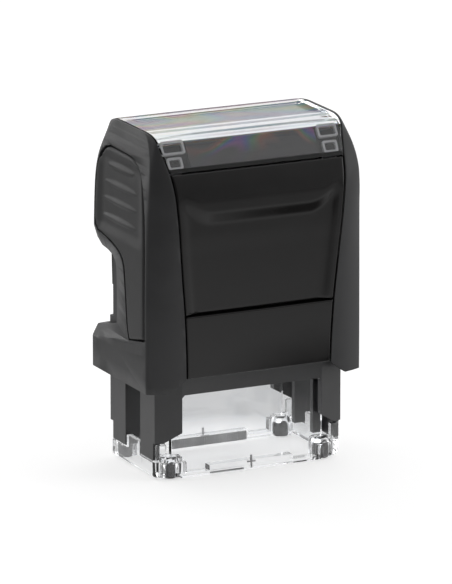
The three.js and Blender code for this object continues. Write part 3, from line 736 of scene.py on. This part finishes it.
def side_shell(name):
    """The right side shell, less the pad's pocket, the rear scoop and a slope low on its inner side."""
    inner = Form(WALL)
    low = spaced(HANDLE_BOTTOM, 52, 1.35) + spaced(52, SHELL_ROOF, 0.7)[1:]
    high = spaced(SHELL_ROOF, 62, 0.3) + [62.25, 62.5, 62.66, 62.8, 62.87, HANDLE_TOP]
    rings = [shell_ring(z, inner, False) for z in low] + [shell_ring(z, inner, True) for z in high]
    shell = loft(name, rings)
    rise = prism("rise", "y", [(13, 16.5), (17.7, 16.5), (14.1, 19.25), (13, 19.9)], -20, 20)
    return cut(shell, pad_pocket(), scoop(), rise)


def hollow(y, z):
    """How far the pad's face lies below its rim: a shallow field with raised finger ridges."""
    along = smoothstep(y + 9.6, 0, 3) * smoothstep(9.8 - y, 0, 2)
    up = smoothstep(57.6 - z, 0, 2) * smoothstep(z - 42, 0, 2.5)
    ridge = 0
    for middle, rear, front in RIDGES:
        across = (y - (rear + front) / 2) / ((rear - front) / 2)
        if abs(across) < 1:
            reach = math.sqrt(1 - across * across)
            off = (z - middle) / (0.8 * max(reach, 0.05))
            if abs(off) < 1:
                ridge = max(ridge, reach * (0.5 + 0.5 * math.cos(math.pi * off)))
    return PAD_HOLLOW * along * up * (1 - ridge)


RIM_DROPS = {0: 0.42, 0.08: 0.24, 0.2: 0.1, 0.36: 0.025, 0.5: 0.0}  # distance from the rim: drop
FINE_RIM = 9.2, 43.5  # behind and above this (y, z) the pad's rim is hardly rounded


def grip_pad(name):
    """A soft pad on the side face: rounded rim, four ridges, and a back that follows the side.
    It meets the shell closely behind, and leaves a dark gap above and in front."""
    edge = grow(PAD, 0.13)[: len(PAD_BEHIND)] + grow(PAD, -GAP / 2)[len(PAD_BEHIND) :]
    dense = []
    for i, (y, z) in enumerate(edge):
        py, pz = edge[i - 1]
        count = max(1, round(math.dist((y, z), (py, pz)) / 0.5))
        dense += [(py + (y - py) * k / count, pz + (z - pz) * k / count) for k in range(1, count + 1)]
    points, drops = [], []
    for inset, drop in RIM_DROPS.items():
        ring = grow(dense, -inset) if inset else dense
        for point in ring:
            if inset == 0 or distance_to(edge, point) > inset * 0.9:
                points.append(point)
                drops.append(drop)
    border = list(range(len(dense)))
    for z in spaced(25.4, 57.9, 0.22):
        for y in spaced(-9.9, 10.3, 0.62):
            if inside_of(edge, (y, z)) and distance_to(edge, (y, z)) > 0.65:
                points.append((y, z))
                drops.append(0.0)
    edges = [(border[i - 1], border[i]) for i in range(len(border))]
    found = delaunay_2d_cdt([Vector(p) for p in points], edges, [border], 1, 1e-5)
    flat, faces, origins = found[0], found[2], found[3]
    top, back = [], []
    for point, source in zip(flat, origins):
        drop = drops[source[0]] if source else 0.0
        y, z = point
        if y > FINE_RIM[0] and z > FINE_RIM[1]:
            drop *= 0.15
        top.append((OUTER.side(z) - 0.05 - drop - hollow(y, z), y, z))
        back.append((OUTER.side(z) - PAD_THICK, y, z))
    count = len(top)
    index = {source[0]: i for i, source in enumerate(origins) if source}
    rim = [index[b] for b in border if b in index]
    skins = [tuple(face) for face in faces] + [tuple(count + i for i in reversed(face)) for face in faces]
    walls = [(rim[i - 1], rim[i], count + rim[i], count + rim[i - 1]) for i in range(len(rim))]
    return make(name, top + back, skins + walls)


# Front, rear and top.
def edged(low, high, step):
    """Even steps with a few close ones beside both ends, for a rounded rim."""
    rim = (0.05, 0.14, 0.3)
    middle = spaced(low + rim[-1], high - rim[-1], step)
    return [low] + [low + r for r in rim[:-1]] + middle + [high - r for r in rim[-2::-1]] + [high]


def rim_round(distance, radius=0.22):
    """How far a face drops at a distance from its rim."""
    if distance >= radius:
        return 0
    return radius - math.sqrt(radius**2 - (radius - max(distance, 0)) ** 2)


DISH_DEPTH, DISH_TOP = 0.7, 49.9


def dish(x, z):
    """The front panel's shallow finger dish below a curved brow."""
    seam = OUTER.seam(z)
    reach = abs(x)
    brow = DISH_TOP + 5.2 * max(0, (reach - 9.5) / (seam - 9.5)) ** 2
    below = smoothstep(brow - z, 0, 3.2)
    return DISH_DEPTH * below * smoothstep(seam - 0.4 - reach, 0, 2.4)


def seam_half(z):
    """Half the width of a piece that lies between the two seams in front."""
    return OUTER.seam(z) - GAP / 2


PLATE_THICK = 1.45


def plate(name, rows, face):
    """A curved plate between the seams. rows are heights, and face gives the depth of the outer
    face; its rim is rounded and its back follows the seams."""
    columns = [u / 100 for u in range(-100, 101, 4)]
    close = (0, 0.05, 0.15)  # columns near the rim, by their distance from it
    low, high = rows[0], rows[-1]
    rings = []
    for z in rows:
        edge = seam_half(z)
        xs = [u * (edge - 0.35) for u in columns]
        xs = [-edge + step for step in close] + xs + [edge - step for step in reversed(close)]
        outer = []
        for x in xs:
            rim = min(edge - abs(x), z - low, high - z)
            outer.append((x, -(face(x, z) - rim_round(rim)), z))
        inner = [(x, -(OUTER.front(z) - PLATE_THICK), z) for x in reversed(xs[::6] + [xs[-1]])]
        rings.append(outer + inner)
    return loft(name, rings)


def front_panel():
    rows = edged(PANEL_BOTTOM, WINDOW_FRONT_Z - GAP, 0.45)
    return plate("front_cover", rows, lambda x, z: OUTER.depth(x, z) - dish(x, z))


def label_strip():
    return plate("label_plate", edged(STRIP_BOTTOM, STRIP_TOP, 0.9), OUTER.depth)


REAR_DEPTH = 12.6  # how far the rear cover's hollow reaches from the middle plane


def rear_panel():
    """The rear cover: an arch over the cartridge's way out, running up to the window."""
    inner = Form(1.5)
    limit = WINDOW_REAR_Y + GAP
    rings = []
    rows = spaced(30.6, 58, 0.9) + spaced(58, 62.4, 0.35)[1:] + [62.55, 62.66]
    for z in rows:
        edge = rear_seam(z) - GAP / 2
        xs = [edge * u / 12 for u in range(-12, 13)]
        outer = [(x, max(OUTER.depth(x, z, True), limit + 0.03), z) for x in reversed(xs)]
        inside = []
        for x in xs:
            depth = inner.depth(x, z, True) if z < inner.top else 0
            inside.append((x, max(min(depth, REAR_DEPTH), limit), z))
        rings.append(outer + inside)
    half, low, high = ARCH_HALF + 0.2, 20, 46.9
    arch = rounded([(-half, low), (half, low), (half, high), (-half, high)], {2: 2.2, 3: 2.2}, 8)
    return cut(loft("rear_cover", rings), prism("arch", "y", arch, 0, 30))


def top_path(inset, front_z, rear_y):
    """The profile over the top in the middle plane, as (y, z, height on the outer form). An inset
    one lies below it, and ends above the front panel."""
    path = []
    for z in spaced(front_z, 62, 0.28) + [62.2, 62.4, 62.55, 62.68, 62.79, 62.86]:
        path.append((-OUTER.front(z), z, z))
    for y in spaced(-OUTER.front(HANDLE_TOP), OUTER.front(HANDLE_TOP), 0.5):
        path.append((y, HANDLE_TOP, HANDLE_TOP))
    for z in (62.86, 62.79, 62.72):
        if OUTER.front(z) < rear_y:
            path.append((OUTER.front(z), z, z))
    path.append((rear_y, 62.7, 62.7))
    if not inset:
        return path
    moved = []
    for i, (y, z, level) in enumerate(path):
        before, after = path[max(i - 1, 0)], path[min(i + 1, len(path) - 1)]
        along = Vector((after[0] - before[0], after[1] - before[1])).normalized()
        if z - inset * along.x >= WINDOW_FRONT_Z:
            moved.append((y + inset * along.y, z - inset * along.x, level))
    return moved


FLAT_Z = 62.5  # above this the sheets over the top have no crown
CROWN_Y = -5.5  # and behind this too


def over_top(name, half, insets, front_z, rear_y, shape=None):
    """A sheet over the handle's top. half gives its half width at a height, insets the depth of
    its two skins, and shape what is taken off its upper skin."""
    skins = [top_path(inset, front_z, rear_y) for inset in insets]
    columns = 34
    rings = []
    for c in range(columns + 1):
        u = 2 * c / columns - 1
        u = math.copysign(1 - (1 - abs(u)) ** 1.35, u)
        ring = []
        for side, skin in enumerate(skins):
            run = []
            for y, z, level in skin:
                x = u * half(level)
                crown = CROWN * (1 - u * u) if level < FLAT_Z and y < CROWN_Y else 0
                drop = shape(x, y, z) if shape and side == 0 else 0
                run.append((x, y - crown, z - drop))
            ring += run if side == 0 else run[::-1]
        rings.append(ring)
    return loft(name, rings)


def recess(x, y, z):
    """How far the window's flat top lies below its rim."""
    across = smoothstep(17.0 - abs(x), 0, 0.45)
    along = smoothstep(y + 4.0, 0, 0.4) * smoothstep(5.9 - y, 0, 0.4)
    return 0.16 * across * along


def top_window():
    """The clear window with its raised rim."""
    return over_top(
        "clear_window", seam_half, (0, WINDOW_THICK), WINDOW_FRONT_Z, WINDOW_REAR_Y, recess
    )


CLIP_DEPTH = 1.52  # from the window's face to the middle of a clip


def window_clips():
    """Two small moulded frames behind the window at each front corner."""
    clips = []
    for x0, x1, low, high in (
        (-17.3, -12.8, 60.0, 62.0),
        (-16.7, -13.8, 57.5, 59.4),
        (13.4, 17.3, 60.1, 62.0),
        (13.8, 16.7, 57.5, 59.4),
    ):
        slope = math.atan2(OUTER.front(low) - OUTER.front(high), high - low)
        clip = clip_frame(x1 - x0, (high - low) / math.cos(slope))
        y = -OUTER.front((low + high) / 2) + CLIP_DEPTH * math.cos(slope)
        z = (low + high) / 2 - CLIP_DEPTH * math.sin(slope)
        clip.data.transform(
            Matrix.Translation(Vector(((x0 + x1) / 2, y, z)) * MM) @ Matrix.Rotation(-slope, 4, "X")
        )
        clips.append(clip)
    return fuse(*clips)


def clip_frame(width, height, rim=0.4, deep=0.55):
    """A small square frame that hangs below the window, open in the middle."""
    half, tall = width / 2, height / 2
    outside = round_rect((-half, -tall), (half, tall), 0.45)
    frame_piece = prism("window_clips", "y", outside, -deep / 2, deep / 2)
    inner = [(a * (half - rim) / half, b * (tall - rim) / tall) for a, b in outside]
    return cut(frame_piece, prism("hole", "y", inner, -deep, deep))


def imprint_card():
    """The card under the window, narrower where the window's clips come down."""
    insets = WINDOW_THICK + GAP, WINDOW_THICK + 2 * GAP
    card = over_top("index_card", lambda z: 15.8, insets, front_z=57.4, rear_y=5.2)
    corners = [box("corner", (x0, -20, 50), (x1, -5.6, 70)) for x0, x1 in ((-20, -12.4), (12.9, 20))]
    return cut(card, *corners)


# Base.
FRAME_CORNER_Y, FRAME_REAR_Y, FRAME_FRONT_Y = 9.06, 9.45, 10.75
OPENING_HALF = 13.84
BASE_BOTTOM, BASE_TOP, BASE_SIDE = 0.25, 3.15, 18.45
FOOT = {"x": 15.1, "y": 8.2, "radius": 1.3, "top": 3.05}
BOSS = {"x0": 12.9, "x1": 16.8, "y0": 6.2, "y1": 9.9, "top": 4.0}
PANE = {"half": 15, "y0": 7.6, "y1": 8.6, "top": 19}
RAIL_HALF, RAIL_INNER_Y = 8.3, 7.0
CORNERS = [(sx, sy) for sx in (-1, 1) for sy in (-1, 1)]


def base_outline(inset):
    side = BASE_SIDE - inset
    corner, rear = FRAME_CORNER_Y - 0.05 - inset * 0.8, FRAME_REAR_Y + 0.1 - inset * 0.8
    front, half = FRAME_FRONT_Y - 0.15 - inset, OPENING_HALF - inset * 0.4
    outline = [
        (side, -corner), (side, rear), (half, front), (-half, front),
        (-side, rear), (-side, -corner), (-half, -front), (half, -front),
    ]
    big, small = max(1.3 - inset * 0.6, 0.3), 0.8
    return rounded(outline, {0: big, 1: big, 4: big, 5: big, 2: small, 3: small, 6: small, 7: small}, 6)


def end_slab(name, end, half, near, far, low, high):
    """A box across the front (end -1) or rear (1), between two distances from the middle plane."""
    y0, y1 = sorted((end * near, end * far))
    return box(name, (-half, y0, low), (half, y1, high))


def clear_base():
    """The clear base: a skirt with rounded corners, four bosses, sills, rails and two panes."""
    levels = [
        (0.55, BASE_BOTTOM), (0.3, BASE_BOTTOM + 0.08), (0.1, BASE_BOTTOM + 0.3), (0, BASE_BOTTOM + 0.6),
        (0, BASE_TOP - 0.12), (0.12, BASE_TOP),
    ]
    rings = [[(x, y, z) for x, y in base_outline(inset)] for inset, z in levels]
    base = loft("clear_stand", rings)
    cut(base, prism("inside", "z", base_outline(1.3), -1, BASE_TOP + 1))
    outer = FRAME_FRONT_Y - GAP
    sill_half = BOSS["x0"] + 1
    near, far = PANE["y0"], PANE["y1"]
    for end in (-1, 1):
        cut(base, end_slab("gap", end, BOSS["x0"], far, 14, 1.0, 5))
        fuse(
            base,
            end_slab("sill", end, sill_half, near, outer, BASE_BOTTOM, 0.95),
            end_slab("rail", end, RAIL_HALF, near, outer - 0.02, BASE_BOTTOM + 0.03, 1.9),
            end_slab("foot_of_pane", end, sill_half - 0.05, near + 0.02, far - 0.02, BASE_BOTTOM + 0.05, 5),
        )
        pane = round_rect((-PANE["half"], 3.9), (PANE["half"], PANE["top"]), 0.6)
        fuse(base, prism("pane", "y", pane, *sorted((end * near, end * far))))
    for sx, sy in CORNERS:
        place = Matrix.Diagonal((sx, sy, 1, 1))
        for piece in (corner_boss(), corner_post()):
            piece.data.transform(place)
            if sx * sy < 0:
                piece.data.flip_normals()
            fuse(base, piece)
        radius, top = FOOT["radius"], FOOT["top"]
        bore = [(radius + GAP, -1), (radius + GAP, top - 0.6), (radius - 0.2, top + 0.35)]
        cut(base, turned("bore", bore, sx * FOOT["x"], sy * FOOT["y"]))
    for side in (-1, 1):
        x0, x1 = sorted((side * 17.1, side * (BASE_SIDE - 0.01)))
        fuse(base, box("tab", (x0, -2.7, BASE_BOTTOM + 0.6), (x1, 2.7, 5.5)))
    return base


def centre_marks():
    """The mark for the middle of the imprint at each end: an upright line with a short tick."""
    marks = []
    for end in (-1, 1):
        near, far = sorted(end * (FRAME_FRONT_Y - GAP + off) for off in (0.06, -0.3))
        marks.append(box("centre_marks", (-0.13, near, 0.45), (0.13, far, 2.8)))
        marks.append(box("tick", (-0.8, near + 0.01, 1.5), (0.8, far - 0.01, 1.74)))
    return fuse(*marks)


def drawn_in(name, outline, centre, reach, levels):
    """A block that an outline makes, drawn in towards its centre by an inset at each height."""
    (cx, cy), (rx, ry) = centre, reach
    rings = []
    for inset, z in levels:
        kx, ky = 1 - inset / rx, 1 - inset / ry
        rings.append([(cx + (x - cx) * kx, cy + (y - cy) * ky, z) for x, y in outline])
    return loft(name, rings)


def corner_boss():
    x0, x1, y0, y1, top = (BOSS[k] for k in ("x0", "x1", "y0", "y1", "top"))
    levels = [
        (0.35, BASE_BOTTOM + 0.02), (0.08, BASE_BOTTOM + 0.35), (0, BASE_BOTTOM + 0.7),
        (0, top - 0.6), (0.12, top - 0.25), (0.45, top),
    ]
    outline = round_rect((x0, y0), (x1, y1), 1.2, 6)
    return drawn_in("boss", outline, ((x0 + x1) / 2, (y0 + y1) / 2), (1.9, 1.9), levels)


def corner_post():
    """The short clear post under the frame's front face at a corner."""
    outline = [(16.3, 8.7), (18.2, 8.7), (18.2, 9.0), (16.4, 9.6)]
    return prism("post", "z", rounded(outline, {1: 0.15, 2: 0.2, 3: 0.3}, 3), 1.5, 6.35)


def ground_ribs():
    """The ground stripe low on the rear pane's inner side, with fine upright flutes, and a narrow grey stripe
    along the left of the front sill, a painted shade for the dark line along that edge."""
    half, y0, y1 = 7.4, RAIL_INNER_Y, 7.58
    outline = [(-half, y0)]
    flutes = 40
    for i in range(flutes):
        x = -half + 2 * half * (i + 0.5) / flutes
        outline += [(x - 0.1, y0), (x, y0 + 0.12), (x + 0.1, y0)]
    outline += [(half, y0), (half, y1), (-half, y1)]
    stripe = prism("ground_ribs", "z", outline, BASE_BOTTOM + 0.15, 1.95)
    # Painted shade: a grey stripe along the left of the front sill, for the dark line at its edge.
    return fuse(stripe, box("painted_shade_sill_stripe", (-RAIL_HALF + 0.2, -10.3, BASE_BOTTOM + 0.1), (-1.5, -9.8, 0.7)))


def rubber_foot(name, x, y):
    radius, top = FOOT["radius"], FOOT["top"]
    dome = 1.25
    profile = [(radius - 0.28, 0), (radius - 0.1, 0.04), (radius, 0.16), (radius, top - dome)]
    for k in range(1, 8):
        t = math.pi / 2 * k / 8
        profile.append((radius * math.cos(t), top - dome + dome * math.sin(t)))
    profile.append((0.06, top))
    return turned(name, profile, x, y, 40)


def return_spring():
    """The helical spring on the frame's post, with nearly flat end turns."""
    radius, wire, turns = 3.6, 0.45, 8
    low, high = 33.3 + wire, 58.9 - wire
    flat = 2 * wire * 1.12
    rings = []
    per_turn, sides = 48, 14
    for i in range(turns * per_turn + 1):
        turn = i / per_turn
        if turn < 1:
            z = low + flat * turn
        elif turn > turns - 1:
            z = high - flat * (turns - turn)
        else:
            z = low + flat + (high - low - 2 * flat) * (turn - 1) / (turns - 2)
        angle = 2 * math.pi * turn
        ring = []
        for s in range(sides):
            a = 2 * math.pi * s / sides
            r = radius + wire * math.cos(a)
            ring.append((r * math.cos(angle), r * math.sin(angle), z + wire * math.sin(a)))
        rings.append(ring)
    return loft("coil_spring", rings)


def text_rubber():
    """A blank rubber sheet with plain raised bars where lines of text would be."""
    sheet = box("rubber_sheet", (-12, -4.3, 22.5), (12, 4.3, 23.05))
    for y in (-2.6, 0, 2.6):
        bar = round_rect((-10, y - 0.7), (10, y + 0.7), 0.5)
        fuse(sheet, prism("bar", "z", bar, 22.9, 23.4))
    return sheet


def felt_pad():
    """The ink pad: a felt block with rounded edges."""
    half_x, half_y, low, high = 12.1, 4.9, 23.72, 27.6
    outline = round_rect((-half_x, -half_y), (half_x, half_y), 0.8, 6)
    levels = [
        (0.9, low + 0.02), (0.4, low), (0.1, low + 0.15), (0, low + 0.5), (0, high - 0.3), (0.3, high),
    ]
    return drawn_in("felt_block", outline, (0, 0), (half_x, half_y), levels)


def carried(node, material, width=0.12):
    """Keeps a CAD node, with softened edges and a finished material."""
    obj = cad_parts[node]
    obj.data.materials.clear()
    obj.data.materials.append(material)
    step = obj.modifiers.new("decimate", "DECIMATE")
    step.decimate_type, step.angle_limit = "DISSOLVE", math.radians(1.5)
    step = obj.modifiers.new("bevel", "BEVEL")
    step.width, step.segments = width * MM, 2
    step.limit_method, step.angle_limit = "ANGLE", math.radians(35)


# Handle.
shell = soften(clean(side_shell("right_side_shell"), 0.03), 0.13)
left = mirrored(shell, "left_side_shell")
finish_piece(shell, "handle", "shell_black", SATIN, "right_shell")
finish_piece(left, "handle", "shell_black", SATIN, "left_shell")
pad = shade(grip_pad("right_soft_pad"), 50)
left_pad = mirrored(pad, "left_soft_pad")
finish_piece(pad, "handle", "grip_pad", SOFT_TOUCH, "right_grip_pad")
finish_piece(left_pad, "handle", "grip_pad", SOFT_TOUCH, "left_grip_pad")
finish_piece(shade(front_panel(), 50), "handle", "panel_gloss", GLOSS, "front_panel")
finish_piece(shade(label_strip(), 50), "handle", "panel_gloss", GLOSS, "label_strip")
finish_piece(soften(clean(rear_panel(), 0.2), 0.12), "handle", "panel_gloss", GLOSS, "rear_panel")
finish_piece(shade(imprint_card(), 40), "handle", "card", CARD_PAINTED_RAINBOW, "imprint_card")
finish_piece(shade(top_window(), 30), "window", "window_clear", WINDOW, "top_window")
finish_piece(soften(window_clips(), 0.14), "window", "window_clear", CLIP)
carried("handle_core", CORE_SATIN_AND_SHADE)
carried("right_slider", CORE_SATIN_AND_SHADE)
carried("left_slider", CORE_SATIN_AND_SHADE)

# Base.
carried("lower_frame", FRAME_SATIN, 0.16)
finish_piece(soften(clean(clear_base()), 0.1), "base", "clear_base", STYRENE, "clear_base")
finish_piece(ground_ribs(), "base", "clear_base", GROUND_AND_PAINTED_SHADE)
finish_piece(centre_marks(), "base", "clear_base", GROUND_AND_PAINTED_SHADE)
for end, sy in (("front", -1), ("rear", 1)):
    for side, sx in (("left", -1), ("right", 1)):
        name = f"foot_{end}_{side}"
        pad_foot = shade(rubber_foot(f"rubber_{name}", sx * FOOT["x"], sy * FOOT["y"]), 40)
        finish_piece(pad_foot, "base", "foot_rubber", FOOT_RUBBER, name)
spring = shade(return_spring(), 60)
finish_piece(spring, "base", "spring_steel", WIRE, "return_spring")
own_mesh(spring)

# Text plate and ink cartridge.
carried("plate_holder", PLATE_GREY)
carried("plate_cushion", FOAM, 0.2)
finish_piece(soften(text_rubber(), 0.08), "text_plate", "text_rubber", LASER_RUBBER, "text_rubber")
carried("cartridge_tray", CORE_SATIN_AND_SHADE)
finish_piece(shade(felt_pad(), 60), "cartridge", "ink_felt", FELT, "ink_pad")


# Stage, light and camera.
def direction(azimuth, elevation):
    """From the object towards a viewer at that angle."""
    a, e = math.radians(azimuth), math.radians(elevation)
    return Vector((math.sin(a) * math.cos(e), -math.cos(a) * math.cos(e), math.sin(e)))


CENTRE = Vector((0, 0, 0.034))


def aim(obj, azimuth, elevation, distance):
    """Puts an object at an angle and a distance, facing the middle of the stamp."""
    away = direction(azimuth, elevation)
    obj.location = CENTRE + away * distance
    obj.rotation_mode = "QUATERNION"
    obj.rotation_quaternion = away.to_track_quat("Z", "Y")


def softbox(name, azimuth, elevation, distance, width, height, radiance):
    """A soft area light that faces the object; its power follows from how bright it looks."""
    light = bpy.data.lights.new(name, "AREA")
    light.shape = "RECTANGLE"
    light.size, light.size_y = width, height
    light.energy = radiance * math.pi * width * height
    obj = placed(name, light)
    obj.visible_camera = False
    aim(obj, azimuth, elevation, distance)


# Name, azimuth, elevation, distance, width, height and radiance.
for row in (
    ("left_softbox", -150, 7, 0.6, 0.4, 0.15, 2.3),
    ("right_softbox", 58, 18, 0.6, 0.24, 0.45, 1.1),
    ("high_left_softbox", -100, 50, 0.5, 0.3, 0.3, 1.2),
    ("overhead_softbox", 10, 82, 0.6, 0.6, 0.5, 0.28),
    ("rear_softbox", -165, 28, 0.7, 0.6, 0.25, 1.6),
):
    softbox(*row)


def floor_material():
    """A white studio floor, evenly bright where the camera sees it. What the object mirrors of it has painted
    shade, darker towards the left and in a patch before the right front, and a painted glow close by, which
    also lights the object from below; through the clear base it has a painted glow inside the base in place
    of the base's shadow. Seen from below it is clear."""
    tree = Surface("studio_floor", Roughness=0.9, Specular_IOR_Level=0.0)
    link = tree.links.new
    patch, centre = (tree.add("VectorMath", operation="DISTANCE") for _ in range(2))
    patch.inputs[1].default_value = (0.046, -0.050, 0)
    for distance in (patch, centre):
        link(tree.place, distance.inputs[0])
    # Painted shade in what the object mirrors: a dark patch before the right front, and darker towards the
    # left.
    painted_shade_patch = tree.spread(patch.outputs["Value"], 0.1, 1, 0.014, 0.036)
    painted_shade_leftward = tree.spread(tree.along("X"), 0.26, 0.9, -0.07, 0.02)
    painted_reflection_tone = tree.sum(0, painted_shade_patch, painted_shade_leftward)
    path = tree.add("LightPath")
    albedo = tree.choose(path.outputs["Is Glossy Ray"], 0.74, painted_reflection_tone)
    tree.driven(Base_Color=tree.sum(albedo, tree.noise(90, 3), 0.02))
    # Painted light: the floor glows close to the object for rays other than the camera's, and through the
    # clear base it glows inside the base in place of the base's shadow.
    near = tree.spread(centre.outputs["Value"], 0.42, 0, 0.06, 0.15)
    painted_glow_inside_base = tree.spread(centre.outputs["Value"], 0.62, 0.05, 0.016, 0.03)
    painted_glow = tree.choose(path.outputs["Is Transmission Ray"], tree.sum(0, near, painted_shade_patch), painted_glow_inside_base)
    bright = tree.add("Emission")
    link(tree.choose(path.outputs["Is Camera Ray"], painted_glow, 0.6), bright.inputs["Strength"])
    both = tree.add("AddShader")
    link(tree.bsdf.outputs[0], both.inputs[0])
    link(bright.outputs[0], both.inputs[1])
    below = tree.add("MixShader")
    link(tree.add("NewGeometry").outputs["Backfacing"], below.inputs[0])
    link(both.outputs[0], below.inputs[1])
    link(tree.add("BsdfTransparent").outputs[0], below.inputs[2])
    link(below.outputs[0], tree.nodes["Material Output"].inputs["Surface"])
    return tree.mat


bpy.ops.mesh.primitive_circle_add(vertices=96, radius=4, fill_type="NGON", location=(0, 0, -0.0002))
floor = bpy.context.object
floor.name = "studio_floor"
floor.data.materials.append(floor_material())

world = bpy.data.worlds.new("studio")
bpy.context.scene.world = world
world.use_nodes = True
sky = Tree(world)
background = sky.nodes["Background"]
toward = sky.add("VectorMath", operation="DOT_PRODUCT")
sky.links.new(sky.nodes["Texture Coordinate"].outputs["Generated"], toward.inputs[0])
toward.inputs[1].default_value = direction(110, 0)
behind = sky.spread(toward.outputs["Value"], 0.12, 0.9, -0.25, 0.75)
# Full white where the camera looks directly or through clear plastic, dimmer in reflections.
path = sky.add("LightPath")
straight = sky.add("Math", operation="MAXIMUM")
for ray, socket in zip(("Is Camera Ray", "Is Transmission Ray"), straight.inputs):
    sky.links.new(path.outputs[ray], socket)
sky.links.new(sky.choose(straight.outputs[0], behind, 1), background.inputs["Strength"])
background.inputs["Color"].default_value = (1, 1, 1, 1)
bpy.context.scene.view_settings.view_transform = "Standard"

# The photo's angle, found by fitting the corners of the CAD boxes to it.
VIEW_AZIMUTH, VIEW_ELEVATION, VIEW_DISTANCE = -25.99, 14.42, 1.16
VIEW_LENS, VIEW_SHIFT = 399.5, (0.0002, -0.033)

camera = placed("camera", bpy.data.cameras.new("camera"))
aim(camera, VIEW_AZIMUTH, VIEW_ELEVATION, VIEW_DISTANCE)
camera.data.sensor_width, camera.data.lens = 36, VIEW_LENS
camera.data.shift_x, camera.data.shift_y = VIEW_SHIFT
camera.data.clip_start, camera.data.clip_end = 0.01, 20
bpy.context.scene.camera = camera
